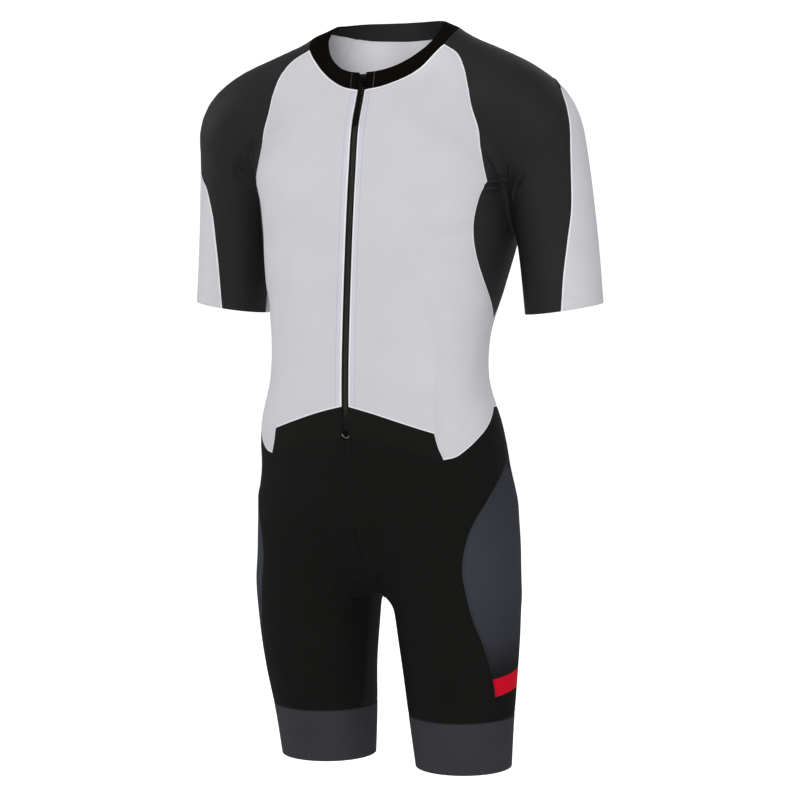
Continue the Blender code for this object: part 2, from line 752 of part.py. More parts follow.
def make_front_and_back(s):
    trunk_line = line_of(TRUNK_LINE)
    side = joined(s.raglan_front, s.side_front, s.side)
    bottom = joined(s.waist_top, s.waist_end, s.point_outer)
    grid = lay(s.zip_edge, side, s.neck_front, bottom, trunk_line, -1)
    panel_pair("front", grid, "cloth_white")
    side = joined(s.raglan_back, s.side_back, s.side)
    top = joined(s.neck_back, mirrored(s.neck_back)[::-1])
    bottom = joined(s.waist_back, mirrored(s.waist_back)[::-1])
    panel("back", lay(side, mirrored(side), top, bottom, trunk_line, -1), "cloth_white")


def make_side_panels(s):
    top = joined(s.underarm_front, s.underarm_back)
    tip = np.repeat(s.side_front[-1:], len(top), axis=0)
    grid = lay(s.side_front, s.side_back, top, tip, line_of(TRUNK_LINE), -1)
    panel_pair("side_panel", grid, "cloth_black", CLOTH, UNDERARM_GAP)


def make_sleeves(s):
    sleeve_line = line_of(SLEEVE)
    inside_front = joined(s.raglan_front, s.underarm_front, s.sleeve_inside)
    inside_back = joined(s.raglan_back, s.underarm_back[::-1], s.sleeve_inside)
    for side, places in (("left", SLEEVE_SEAM_LEFT), ("right", SLEEVE_SEAM_RIGHT)):
        angle = CUFF_SEAM_ANGLE[side]
        hem_front = cuff_ring(side, 180, angle, STEPS.neck_shoulder)
        hem_back = cuff_ring(side, angle, -180, STEPS.neck_behind)
        outer = seam(places, len(inside_front) - 1)
        outer[-1] = hem_front[-1]
        front = lay(inside_front, outer, s.neck_shoulder, hem_front, sleeve_line, -1)
        back = lay(outer, inside_back, s.neck_behind, hem_back, sleeve_line, -1)
        if side == "right":
            front, back = mirrored(front), mirrored(back)
        panel(f"sleeve_front_{side}", front, "cloth_black")
        panel(f"sleeve_back_{side}", back, "cloth_white")


def make_waist(s):
    steps = STEPS.waist_end
    edge = zip_edge(s.waist_top[0][2], s.waist_bottom[0][2], ZIP_HALF_GAP, steps)
    bottom = s.waist_bottom.copy()
    bottom[0] = edge[-1]
    grid = lay(edge, s.waist_end, s.waist_top, bottom, line_of(TRUNK_LINE), -1)
    panel_pair("waist", grid, "cloth_black")


def make_shorts(s):
    hip_line = line_of(HIP_LINE)
    middle = joined(s.centre_front, s.inside_leg)
    outer = joined(s.hip_side, s.thigh_front)
    top = joined(s.waist_bottom, s.point_outer)
    grid = lay(middle, outer, top, s.leg_front, hip_line, -1, LEAST_X)
    panel_pair("shorts_front", grid, "cloth_black")
    middle = joined(s.centre_back, s.inside_leg)
    outer = joined(s.hip_side, s.thigh_back)
    grid = lay(outer, middle, s.waist_back, s.leg_back, hip_line, -1, LEAST_X)
    panel_pair("shorts_back", grid, "cloth_black")
    tip = np.repeat(s.thigh_front[:1], STEPS.thigh_bottom + 1, axis=0)
    grid = lay(s.thigh_front, s.thigh_back, tip, s.leg_side, hip_line, -1)
    panel_pair("thigh_side", grid, "cloth_printed")


def make_leg_bands(s):
    top = joined(s.leg_front, s.leg_side, s.leg_back)
    share = np.linspace(0, 1, STEPS.leg_band_rows + 1)[:, None, None]
    bottom = top + np.array([0, 0, LEG_HEM - LEG_BAND_TOP])
    grid = top * (1 - share) + bottom * share
    inner = settle(grid)
    inner[..., 2] = grid[..., 2]
    inner = settle(inner)
    inner[0] = top
    panel_pair("leg_band", inner, "cloth_dark_grey", BAND_CLOTH)


def make_neck_band(s):
    """A band that stands from the neck seam to the rim of the neck opening, open at the zip."""
    half = joined(s.neck_front, s.neck_shoulder, s.neck_behind, s.neck_back)
    lengths = np.linalg.norm(np.diff(half, axis=0), axis=1)
    share = np.concatenate([[0], np.cumsum(lengths)]) / lengths.sum()
    rim_line = even_steps(smooth_through(NECK_RIM), 200)
    rim = np.stack([np.interp(share * 200, np.arange(201), rim_line[:, i]) for i in range(3)], axis=-1)
    low = joined(half, mirrored(half)[::-1])
    high = joined(rim, mirrored(rim)[::-1])
    rows = np.linspace(0, 1, STEPS.neck_band_rows + 1)[:, None, None]
    grid = low * (1 - rows) + high * rows
    along = np.gradient(grid, axis=1)
    across = high - low
    normals = np.cross(along, np.broadcast_to(across, grid.shape))
    normals /= np.linalg.norm(normals, axis=-1, keepdims=True)
    normals[0] = outward(grid[0])
    grid = draw_in(grid, normals, SEAM_GAP / 2)
    return cloth_wall("neck_band", grid, normals, BAND_CLOTH, "cloth_black")


# ---------------------------------------------------------------- the zip
def face_at(x, z):
    """Points of the suit's front face, from their places seen from in front."""
    return hold_x(np.stack([x, TRUNK.at(z).front, z], axis=-1))


def strip(name, across, heights, depth, thickness, fabric):
    """A flat strip that follows the front of the suit under its face."""
    face = face_at(*np.meshgrid(across, heights))
    normals = outward(face)
    return cloth_wall(name, face - normals * depth, normals, thickness, fabric)


def frame_at(height):
    """The face's point on the zip line, with the directions up along the zip and out of the cloth."""
    above, here, below = face_at(np.zeros(3), np.array([height + 0.005, height, height - 0.005]))
    up = Vector(above - below).normalized()
    across = Vector((1, 0, 0))
    return Vector(here), across, up, across.cross(up)


def place(item, point, across, up, out):
    """Turns an object's own X, Y and Z to lie across the zip, up along it and out of the cloth."""
    item.location = point
    item.rotation_euler = Matrix((across, up, out)).transposed().to_euler()


def prism(outline, low, high):
    """A closed prism over an outline in X and Y."""
    bm = bmesh.new()
    floor = bm.faces.new([bm.verts.new((x, y, low)) for x, y in outline])
    made = bmesh.ops.extrude_face_region(bm, geom=[floor], use_keep_orig=True)
    verts = [item for item in made["geom"] if isinstance(item, bmesh.types.BMVert)]
    bmesh.ops.translate(bm, verts=verts, vec=(0, 0, high - low))
    bmesh.ops.recalc_face_normals(bm, faces=bm.faces[:])
    return bm


def combine(item, tool, operation):
    """Boolean with a tool that stays in the file as a hidden guide."""
    tool.hide_render = True
    tool.display_type = "WIRE"
    modifier = item.modifiers.new(operation.title(), "BOOLEAN")
    modifier.operation = operation
    modifier.object = tool


def box_outline(half_width, low, high):
    return [(-half_width, low), (half_width, low), (half_width, high), (-half_width, high)]


def make_slider(point, across, up, out):
    """A plate over the chain that narrows to a nose, with a low bridge for the pull tab."""
    half, nose, end = SLIDER_WIDTH / 2, SLIDER_NOSE / 2, SLIDER_LENGTH / 2
    wide_from, wide_to, top = end * 0.1, end * 0.75, half * 0.7
    outline = [(-nose, -end), (nose, -end), (half, wide_from), (half, wide_to)]
    outline += [(top, end), (-top, end), (-half, wide_to), (-half, wide_from)]
    low = SEAM_GAP - TAPE_DEPTH
    slider = add_object("zip_slider", prism(outline, low, SLIDER_PROUD), "zip_metal", 25)
    foot = BRIDGE.length / 2 + BRIDGE.thickness
    post = BRIDGE.length / 2
    crown = SLIDER_PROUD + BRIDGE.room + BRIDGE.thickness
    sunk = SLIDER_PROUD - BRIDGE.thickness / 2
    arch = [(-foot, sunk), (-foot, crown), (foot, crown), (foot, sunk), (post, sunk)]
    arch += [(post, crown - BRIDGE.thickness), (-post, crown - BRIDGE.thickness), (-post, sunk)]
    bridge = add_object("zip_bridge_guide", prism(arch, -BRIDGE.width / 2, BRIDGE.width / 2), "zip_metal")
    place(slider, point, across, up, out)
    place(bridge, point, up, out, across)
    combine(slider, bridge, "UNION")


def make_pull_tab(point, across, up, out):
    """A flat tab, hung on a bar that passes under the bridge. Its origin is the bar's axis."""
    axis = point + out * (SLIDER_PROUD + BRIDGE.room / 2)
    tip_face, _, _, tip_out = frame_at(SLIDER_HEIGHT - TAB_LENGTH * TAB_LIE)
    tip = tip_face + tip_out * (TAB_TIP_LIFT + TAB_THICKNESS / 2)
    tab_up = (axis - tip).normalized()
    half, bar = TAB_WIDTH / 2, PULL_BAR / 2
    neck, corner, low = TAB_NECK.width / 2, half - TAB_CORNER, TAB_CORNER - TAB_LENGTH
    right = [(corner, -TAB_LENGTH), (half, low), (half, -TAB_NECK.full_at)]
    right += [(neck, -TAB_NECK.end), (neck, bar)]
    outline = right + [(-x, y) for x, y in right[::-1]]
    thick = TAB_THICKNESS / 2
    tab = add_object("zip_pull", prism(outline, -thick, thick), "zip_metal", 25)
    eye_outline = box_outline(TAB_EYE.half_width, -TAB_EYE.far_end, -bar)
    eye = add_object("zip_eye_guide", prism(eye_outline, -2 * thick, 2 * thick), "zip_metal")
    for item in (tab, eye):
        place(item, axis, across, tab_up, across.cross(tab_up))
    combine(tab, eye, "DIFFERENCE")


def make_zip():
    stop_length = STOP_SIZE[1]
    heights = np.linspace(TAPE_TOP, ZIP_END - stop_length, STEPS.zip)
    across = np.array([SEAM_GAP / 2, ZIP_HALF_GAP, TAPE_WIDTH])
    strip("zip_tape_left", across, heights, TAPE_DEPTH, TAPE_CLOTH, "zip_tape")
    strip("zip_tape_right", -across[::-1], heights, TAPE_DEPTH, TAPE_CLOTH, "zip_tape")
    heights = np.linspace(SLIDER_HEIGHT - SLIDER_LENGTH / 2 - SEAM_GAP, ZIP_END, STEPS.zip)
    across = np.linspace(-CHAIN_HALF_WIDTH, CHAIN_HALF_WIDTH, 3)
    depth = TAPE_DEPTH - SEAM_GAP - CHAIN_THICKNESS
    strip("zip_chain", across, heights, depth, CHAIN_THICKNESS, "zip_plastic")
    axes = frame_at(SLIDER_HEIGHT)
    make_slider(*axes)
    make_pull_tab(*axes)
    width, length, deep = STOP_SIZE
    outline = box_outline(width / 2, -length / 2, length / 2)
    low = SEAM_GAP - TAPE_DEPTH
    stop = add_object("zip_stop", prism(outline, low, low + deep), "zip_metal")
    place(stop, *frame_at(ZIP_END - SEAM_GAP - length / 2))


def clear_scene():
    for item in list(bpy.data.objects):
        bpy.data.objects.remove(item, do_unlink=True)


def main():
    clear_scene()
    s = body_seams()
    make_front_and_back(s)
    make_side_panels(s)
    make_sleeves(s)
    make_waist(s)
    make_shorts(s)
    make_leg_bands(s)
    make_neck_band(s)
    make_zip()


main()
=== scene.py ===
# %% [markdown]
# # A triathlon suit with a front zip
# The real suit is sewn from some twenty cut pieces of thin stretch knit, and it is shown as it is
# worn: filled out by a figure, smooth over the chest and the thighs, and creased only where the
# arms and the legs join. The imported frame already holds every piece as a plain solid at its true
# size. This lesson lays a finer shell of cloth over each solid, adds creases, sewing, the zip's
# teeth and the fabrics, and hides the solid under it.
#
# The frame is loaded first.

# %% Load the frame
import json
import math
from functools import partial
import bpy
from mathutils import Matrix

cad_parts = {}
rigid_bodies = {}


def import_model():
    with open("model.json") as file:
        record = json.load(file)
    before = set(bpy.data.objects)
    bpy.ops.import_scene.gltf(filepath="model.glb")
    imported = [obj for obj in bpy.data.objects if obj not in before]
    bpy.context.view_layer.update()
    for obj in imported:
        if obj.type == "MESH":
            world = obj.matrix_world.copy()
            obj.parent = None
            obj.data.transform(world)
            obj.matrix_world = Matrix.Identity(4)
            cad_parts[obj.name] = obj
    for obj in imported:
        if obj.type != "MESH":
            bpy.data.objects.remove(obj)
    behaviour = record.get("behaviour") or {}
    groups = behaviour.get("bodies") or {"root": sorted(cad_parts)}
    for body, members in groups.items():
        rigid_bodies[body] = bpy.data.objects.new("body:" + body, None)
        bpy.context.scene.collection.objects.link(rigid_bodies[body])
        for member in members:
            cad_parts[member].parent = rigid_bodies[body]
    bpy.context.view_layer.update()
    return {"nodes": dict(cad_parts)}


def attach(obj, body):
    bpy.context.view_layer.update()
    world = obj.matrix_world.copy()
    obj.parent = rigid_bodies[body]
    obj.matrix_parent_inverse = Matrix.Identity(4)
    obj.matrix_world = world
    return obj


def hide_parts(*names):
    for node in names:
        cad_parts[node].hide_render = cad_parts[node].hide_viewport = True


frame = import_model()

from types import SimpleNamespace

import bpy
import numpy as np
from mathutils import Vector

bpy.ops.object.select_all(action="DESELECT")

# %% [markdown]
# ## The room
# A studio picture of clothing is taken against a pale, even ground, with large soft lamps, so that
# the cloth's own shape does the shading. The ground could be a flat plane and a bright world, but
# a plane that curves up behind the suit has no horizon line and gives the dark cloth something
# pale to reflect at its edges. The camera stands a little to the suit's left and looks slightly
# down, from far enough away that the sleeves and legs keep their proportions.

# %% Camera
CAMERA_AZIMUTH = math.radians(25.0)  # turned round the suit, from straight in front
CAMERA_DISTANCE = 2.7
CAMERA_SIDESTEP = 0.0195  # to the right of the suit's middle
CAMERA_HEIGHT = -0.256
CAMERA_PITCH = math.radians(3.67)  # down
CAMERA_LENS = 99.63  # mm, on a 36 mm wide frame

ahead = Vector((-math.sin(CAMERA_AZIMUTH), math.cos(CAMERA_AZIMUTH), 0.0))
aside = Vector((math.cos(CAMERA_AZIMUTH), math.sin(CAMERA_AZIMUTH), 0.0))
bpy.ops.object.camera_add()
camera = bpy.context.object
camera.name = "camera"
camera.location = aside * CAMERA_SIDESTEP - ahead * CAMERA_DISTANCE + Vector((0, 0, CAMERA_HEIGHT))
looking = ahead * math.cos(CAMERA_PITCH) - Vector((0, 0, math.sin(CAMERA_PITCH)))
camera.rotation_euler = looking.to_track_quat("-Z", "Y").to_euler()
camera.data.lens = CAMERA_LENS
camera.data.sensor_width = 36.0
camera.data.clip_end = 50.0
bpy.context.scene.camera = camera
print("camera stands at", tuple(round(c, 3) for c in camera.location))

# %% [markdown]
# ### The ground
# A paper roll in a studio lies flat and curves up with no fold. A round floor is made here from a
# circle whose edge is extruded step by step round a quarter turn, and then straight up. One circle
# and a loop do what a sculpted sheet would, and it looks the same from every side.

# %% Floor that curves up into a round backdrop
FLOOR_HEIGHT = -1.02
FLOOR_RADIUS, CURVE_RADIUS, WALL_HEIGHT = 5.0, 1.5, 3.5
CURVE_STEPS = 12

bpy.ops.mesh.primitive_circle_add(
    vertices=96, radius=FLOOR_RADIUS, fill_type="NGON", location=(0, 0, FLOOR_HEIGHT)
)
ground = bpy.context.object
ground.name = "ground"
bpy.ops.object.mode_set(mode="EDIT")
bpy.ops.mesh.select_mode(type="EDGE")
bpy.ops.mesh.select_all(action="SELECT")
bpy.ops.mesh.region_to_loop()
radius, height = FLOOR_RADIUS, 0.0
for step in range(1, CURVE_STEPS + 2):
    turn = math.pi / 2 * min(step / CURVE_STEPS, 1)
    wider = FLOOR_RADIUS + CURVE_RADIUS * math.sin(turn)
    higher = CURVE_RADIUS * (1 - math.cos(turn)) + (WALL_HEIGHT if step > CURVE_STEPS else 0)
    bpy.ops.mesh.extrude_edges_move(TRANSFORM_OT_translate={"value": (0, 0, higher - height)})
    bpy.ops.transform.resize(value=(wider / radius, wider / radius, 1))
    radius, height = wider, higher
bpy.ops.mesh.select_all(action="SELECT")
bpy.ops.mesh.normals_make_consistent(inside=True)
bpy.ops.object.mode_set(mode="OBJECT")
bpy.ops.object.transform_apply(location=True)
bpy.ops.object.shade_smooth()
bpy.ops.object.select_all(action="DESELECT")
print("ground:", len(ground.data.polygons), "faces, wall at", round(radius, 2), "m")

# %% [markdown]
# ### The lamps
# Black cloth shows its shape only by soft light that slides over it. So five large square lamps
# stand round the suit, the strongest in front and to the left, and a narrow one reaches the inside
# of the collar. Bare lamps would be brighter for their size, but their shadows would be hard.

# %% Soft lamps and a pale world
SUIT_MIDDLE = Vector((0.0, 0.0, -0.45))


def softbox(name, azimuth, elevation, distance, size, power):
    """A large square lamp that faces the suit's middle. Degrees, as the camera's azimuth."""
    a, e = math.radians(azimuth), math.radians(elevation)
    away = Vector((math.sin(a) * math.cos(e), -math.cos(a) * math.cos(e), math.sin(e)))
    bpy.ops.object.light_add(type="AREA")
    lamp = bpy.context.object
    lamp.name = name
    lamp.location = SUIT_MIDDLE + away * distance
    lamp.rotation_euler = (-away).to_track_quat("-Z", "Y").to_euler()
    lamp.data.size = size
    lamp.data.energy = power
    return lamp


softbox("front_lamp", 22, 8, 3.2, 1.6, 31)
softbox("left_lamp", -75, 22, 3.2, 1.6, 34)
softbox("fill_lamp", 66, 14, 3.2, 2.4, 17)
softbox("top_lamp", 20, 62, 3.0, 1.4, 12)
softbox("back_lamp", 170, 25, 3.2, 2.4, 16)

COLLAR = Vector((-0.009, 0.051, 0.000))  # on the inside of the back, seen through the neck
snoot_place = COLLAR + Vector((0.40, -0.88, 0.14)).normalized() * 2.0
bpy.ops.object.light_add(type="SPOT", location=snoot_place)
snoot = bpy.context.object
snoot.name = "collar_lamp"
snoot.rotation_euler = (COLLAR - snoot_place).to_track_quat("-Z", "Y").to_euler()
snoot.data.spot_size = math.radians(4.0)
snoot.data.spot_blend = 0.8
snoot.data.shadow_soft_size = 0.02
snoot.data.energy = 45

world = bpy.data.worlds.new("pale_room")
bpy.context.scene.world = world
world.use_nodes = True
world.node_tree.nodes["Background"].inputs["Color"].default_value = (0.97, 0.98, 1.0, 1)
world.node_tree.nodes["Background"].inputs["Strength"].default_value = 0.405
bpy.context.scene.view_settings.view_transform = "Standard"

# %% [markdown]
# ### The ground's paper
# White paper under lamps goes grey where they don't reach. To keep it even behind the suit, the
# camera sees a fixed pale value added to it, while the suit itself sees only plain paper.

# %% The ground's material
def new_material(name, roughness=0.8):
    """A material with one Principled shader; returns it with its node tree and shader."""
    made = bpy.data.materials.new(name)
    made.use_nodes = True
    shader = made.node_tree.nodes["Principled BSDF"]
    shader.inputs["Roughness"].default_value = roughness
    return made, made.node_tree, shader


ground_paper, paper_tree, paper_shader = new_material("pale_paper", 0.9)
paper_shader.inputs["Base Color"].default_value = (0.80, 0.80, 0.80, 1)
paper_shader.inputs["Specular IOR Level"].default_value = 0.1
seen = paper_tree.nodes.new("ShaderNodeLightPath")
lift = paper_tree.nodes.new("ShaderNodeMix")
lift.data_type = "RGBA"
for place in (i for i in lift.inputs if i.type == "RGBA"):
    place.default_value = (0.75, 0.75, 0.75, 1) if place.name == "B" else (0.0, 0.0, 0.0, 1)
paper_tree.links.new(seen.outputs["Is Camera Ray"], lift.inputs["Factor"])
lift_colour = [o for o in lift.outputs if o.type == "RGBA"][0]
paper_tree.links.new(lift_colour, paper_shader.inputs["Emission Color"])
paper_shader.inputs["Emission Strength"].default_value = 1.0
ground.data.materials.append(ground_paper)
print("ground:", ground_paper.name)

# %% [markdown]
# ## The form that the cloth lies on
# A stretch suit has no shape of its own until it is worn, so everything here lies on one smooth
# form: a trunk, two sleeves and two legs. It could be sculpted, but then the seams would have to be
# traced by hand. Instead each part is a short table of sections read smoothly, and the parts are
# blended where they meet. The numbers are those of the frame, so each finished piece lands on the
# solid that it replaces.

# %% Sizes of the form and the sewing
NECK_RIM_DROP = -0.036  # top of the neck band at the middle of the front
ZIP_HALF_GAP = 0.0047  # from the middle of the zip to the edge of the front panel
LEG_BAND_TOP = -0.811
LEG_HEM = -0.8785
SHOULDER_BLEND = 0.040
UNDERARM_BLEND = 0.014
CROTCH_BLEND = 0.030
SEAT_BLEND = 0.020
BETWEEN_LEGS_BLEND = 0.008
CROTCH_HEIGHT = -0.659
HIP_HEIGHT = -0.500
HIP_EASE = 0.060
ARMPIT_HEIGHT = -0.175
ARMPIT_EASE = 0.050
WRAP_BELOW = -0.5  # radians; an angle below this goes the long way round
LEAST_X = 0.0030  # how near the middle of the body the shorts' inner points come
SLEEVE_FLATNESS = 0.88  # a sleeve's breadth over its depth from front to back


print("the cloth ends at", LEG_HEM, "m and its bands begin at", LEG_BAND_TOP)

# %% [markdown]
# ### Tables of sections
# A tailor takes a figure's measures at a few heights. Each table does the same: a row for each
# height, and a smooth curve through the rows. A sculpted body would need thousands of points, and
# none of them would say what it is.

# %% A table of sections that is read smoothly
class Table:
    """Rows under named columns, read smoothly at any value of the first column."""

    def __init__(self, columns, rows):
        self.names = columns.split()
        rows = sorted(rows)
        self.key = np.array([row[0] for row in rows])
        self.values = np.array([row[1:] for row in rows])
        self.slopes = np.gradient(self.values, self.key, axis=0)

    def at(self, key):
        key = np.clip(key, self.key[0], self.key[-1])
        row = np.clip(np.searchsorted(self.key, key) - 1, 0, len(self.key) - 2)
        step = (self.key[1:] - self.key[:-1])[row]
        t = ((key - self.key[row]) / step)[..., None]
        step = step[..., None]
        value = (
            self.values[row] * (2 * t**3 - 3 * t**2 + 1)
            + self.slopes[row] * step * (t**3 - 2 * t**2 + t)
            + self.values[row + 1] * (3 * t**2 - 2 * t**3)
            + self.slopes[row + 1] * step * (t**3 - t**2)
        )
        return SimpleNamespace(**{name: value[..., i] for i, name in enumerate(self.names[1:])})


print("tables are read by their first column")

# %% The tables of sections
# front and back are the places of the section's two faces along Y. Squareness 2 is an ellipse, and
# below 2 the front runs more straight back from the stiff zip.
TRUNK = Table(
    "height half_width front back front_square back_square",
    [
        (0.080, 0.060, -0.040, 0.056, 2.0, 2.0),
        (0.040, 0.066, -0.044, 0.064, 2.0, 2.0),
        (0.010, 0.075, -0.050, 0.076, 1.55, 2.0),
        (-0.030, 0.093, -0.0545, 0.098, 1.45, 2.1),
        (-0.060, 0.117, -0.0645, 0.114, 1.95, 2.2),
        (-0.100, 0.142, -0.080, 0.128, 2.5, 2.5),
        (-0.150, 0.167, -0.088, 0.138, 2.9, 2.9),
        (-0.190, 0.162, -0.093, 0.138, 2.7, 2.7),
        (-0.230, 0.160, -0.097, 0.130, 2.4, 2.4),
        (-0.290, 0.150, -0.102, 0.107, 2.25, 2.25),
        (-0.350, 0.138, -0.106, 0.084, 2.2, 2.2),
        (-0.400, 0.138, -0.108, 0.080, 2.2, 2.2),
        (-0.460, 0.154, -0.107, 0.091, 2.2, 2.2),
        (-0.520, 0.158, -0.102, 0.112, 2.2, 2.2),
        (-0.570, 0.154, -0.094, 0.120, 2.2, 2.2),
        (-0.610, 0.149, -0.077, 0.116, 2.2, 2.2),
        (-0.650, 0.130, -0.050, 0.105, 2.2, 2.2),
    ],
)

LEG = Table(
    "height middle_x middle_y half_width half_depth squareness",
    [
        (-0.520, 0.082, 0.008, 0.068, 0.084, 2.2),
        (-0.600, 0.088, 0.008, 0.073, 0.087, 2.2),
        (-0.650, 0.0925, 0.009, 0.0765, 0.086, 2.1),
        (-0.700, 0.0945, 0.012, 0.0745, 0.080, 2.05),
        (-0.760, 0.0950, 0.017, 0.0695, 0.0735, 2.0),
        (-0.820, 0.0930, 0.026, 0.0640, 0.067, 2.0),
        (-0.900, 0.0925, 0.036, 0.0570, 0.060, 2.0),
    ],
)

# The middle line of a sleeve, from inside the shoulder to past the cuff.
SLEEVE = Table(
    "station x y z radius",
    [
        (0, 0.040, 0.020, -0.010, 0.040),
        (1, 0.085, 0.018, -0.030, 0.044),
        (2, 0.132, 0.012, -0.0525, 0.0475),
        (3, 0.172, 0.002, -0.0740, 0.0495),
        (4, 0.197, 0.003, -0.098, 0.0500),
        (5, 0.206, 0.014, -0.140, 0.0485),
        (6, 0.217, 0.025, -0.240, 0.047),
        (7, 0.225, 0.028, -0.330, 0.046),
        (8, 0.229, 0.030, -0.380, 0.0455),
    ],
)

# Lines inside the body that the panels are laid around.
TRUNK_LINE = Table(
    "station x y z", [(0, 0, 0.012, 0.020), (1, 0, 0.010, -0.250), (2, 0, -0.005, -0.520)]
)
HIP_LINE = Table(
    "station x y z",
    [
        (0, 0.045, -0.010, -0.430),
        (1, 0.060, 0.000, -0.520),
        (2, 0.078, 0.008, -0.590),
        (3, 0.088, 0.012, -0.650),
        (4, 0.092, 0.020, -0.730),
        (5, 0.092, 0.028, -0.820),
        (6, 0.092, 0.034, -0.900),
    ],
)
SLEEVE_CUFF = SimpleNamespace(x=0.2243, y=0.0277, half_width=0.046, half_depth=0.052)
# z is the height of a cuff's middle, tilt how much higher its outer side is, and dip how much lower
# its front.
CUFF_LIE = {
    "left": SimpleNamespace(z=-0.3157, tilt=0.0055, dip=0.0045),
    "right": SimpleNamespace(z=-0.3172, tilt=0.0075, dip=0.0),
}

print("sections:", len(TRUNK.key), "trunk,", len(LEG.key), "leg,", len(SLEEVE.key), "sleeve")

# %% [markdown]
# ### Where the seams run
# A maker draws the seams on the figure first. Each seam is a short list of places (x, y, z) that
# its line passes, on the wearer's left, and the line is settled on the form later. Drawing them by
# hand on a finished mesh would tie them to that mesh.

# %% Seams of the neck and the body
NECK_FRONT = [
    (0.0047, -0.0625, -0.057), (0.0234, -0.0589, -0.0534), (0.0395, -0.0497, -0.0475),
    (0.0585, -0.0352, -0.0370), (0.0735, -0.0300, -0.0225), (0.0895, -0.0215, -0.0040),
]
NECK_SHOULDER = [
    (0.0895, -0.0215, -0.0040), (0.0925, -0.008, 0.006), (0.091, 0.010, 0.0125),
    (0.081, 0.028, 0.014),
]
NECK_BEHIND = [(0.081, 0.028, 0.014), (0.074, 0.042, 0.014), (0.064, 0.054, 0.013)]
NECK_BACK = [
    (0.064, 0.054, 0.013), (0.042, 0.068, 0.012), (0.021, 0.074, 0.012), (0.0, 0.076, 0.012),
]
RAGLAN_FRONT = [
    (0.0895, -0.0215, -0.0040), (0.107, -0.021, -0.018), (0.121, -0.028, -0.035),
    (0.132, -0.035, -0.058), (0.137, -0.038, -0.080), (0.142, -0.043, -0.102),
    (0.148, -0.049, -0.126), (0.154, -0.049, -0.147), (0.158, -0.045, -0.166),
]
RAGLAN_BACK = [
    (0.064, 0.054, 0.013), (0.086, 0.068, -0.006), (0.104, 0.080, -0.030), (0.119, 0.088, -0.060),
    (0.132, 0.094, -0.095), (0.145, 0.092, -0.130), (0.156, 0.080, -0.166),
]
UNDERARM_FRONT = [
    (0.158, -0.045, -0.166), (0.163, -0.028, -0.165), (0.166, -0.010, -0.184),
    (0.1645, 0.005, -0.208), (0.1635, 0.020, -0.230),
]
UNDERARM_BACK = [
    (0.1635, 0.020, -0.230), (0.165, 0.036, -0.206), (0.166, 0.050, -0.184), (0.162, 0.066, -0.172),
    (0.156, 0.080, -0.166),
]
SIDE_PANEL_FRONT = [
    (0.158, -0.045, -0.166), (0.150, -0.050, -0.186), (0.143, -0.052, -0.209),
    (0.140, -0.049, -0.235), (0.140, -0.040, -0.262), (0.140, -0.025, -0.288),
    (0.139, -0.006, -0.310), (0.137, 0.010, -0.326),
]
SIDE_PANEL_BACK = [
    (0.156, 0.080, -0.166), (0.150, 0.086, -0.190), (0.146, 0.084, -0.215), (0.142, 0.077, -0.245),
    (0.140, 0.061, -0.275), (0.139, 0.038, -0.303), (0.137, 0.010, -0.326),
]
SIDE = [
    (0.137, 0.010, -0.326), (0.136, 0.004, -0.365), (0.138, 0.000, -0.400), (0.144, -0.002, -0.434),
]
print("body seams:", len(RAGLAN_FRONT), "places on the front sleeve seam")

# %% Seams of the sleeves
SLEEVE_INSIDE = [
    (0.1635, 0.020, -0.230), (0.170, 0.024, -0.252), (0.1745, 0.027, -0.285),
    (0.1783, 0.0277, -0.327),
]
SLEEVE_SEAM_LEFT = [
    (0.081, 0.028, 0.014), (0.110, 0.046, -0.005), (0.145, 0.050, -0.022), (0.178, 0.041, -0.034),
    (0.207, 0.021, -0.0435), (0.224, 0.001, -0.052), (0.236, -0.010, -0.069),
    (0.2435, -0.0150, -0.090), (0.2468, -0.0158, -0.115), (0.2474, -0.0148, -0.155),
    (0.2480, -0.0148, -0.200), (0.2450, -0.0180, -0.235), (0.2410, -0.0208, -0.275),
    (0.2385, -0.0218, -0.3150),
]
SLEEVE_SEAM_RIGHT = [
    (0.081, 0.028, 0.014), (0.110, 0.046, -0.005), (0.145, 0.050, -0.022), (0.178, 0.046, -0.038),
    (0.210, 0.038, -0.058), (0.238, 0.022, -0.085), (0.248, 0.004, -0.110), (0.246, -0.012, -0.136),
    (0.231, -0.029, -0.163), (0.222, -0.030, -0.196), (0.218, -0.027, -0.240),
    (0.2132, -0.0228, -0.3190),
]
CUFF_SEAM_ANGLE = {"left": 72.0, "right": 104.0}  # degrees from the outer side towards the front
print("sleeve seams:", len(SLEEVE_SEAM_LEFT), "and", len(SLEEVE_SEAM_RIGHT), "places")

# %% Seams of the waist and the legs
WAIST_TOP = [
    (0.0047, -0.110, -0.431), (0.033, -0.108, -0.438), (0.072, -0.099, -0.450),
    (0.104, -0.083, -0.461),
]
WAIST_END = [(0.104, -0.083, -0.461), (0.107, -0.080, -0.476), (0.113, -0.076, -0.492)]
WAIST_BOTTOM = [
    (0.0, -0.107, -0.469), (0.028, -0.106, -0.471), (0.052, -0.102, -0.475),
    (0.075, -0.094, -0.482), (0.096, -0.084, -0.489), (0.113, -0.076, -0.492),
]
POINT_OUTER = [
    (0.113, -0.076, -0.492), (0.124, -0.067, -0.489), (0.133, -0.057, -0.480),
    (0.141, -0.043, -0.467), (0.146, -0.025, -0.452), (0.144, -0.002, -0.434),
]
WAIST_BACK = [
    (0.144, -0.002, -0.434), (0.137, 0.034, -0.434), (0.112, 0.065, -0.433), (0.06, 0.083, -0.432),
    (0, 0.088, -0.432),
]
CENTRE_FRONT = [
    (0, -0.107, -0.469), (0, -0.104, -0.510), (0, -0.097, -0.555), (0, -0.085, -0.590),
    (0, -0.068, -0.620), (0, -0.042, -0.648), (0, -0.004, -0.665),
]
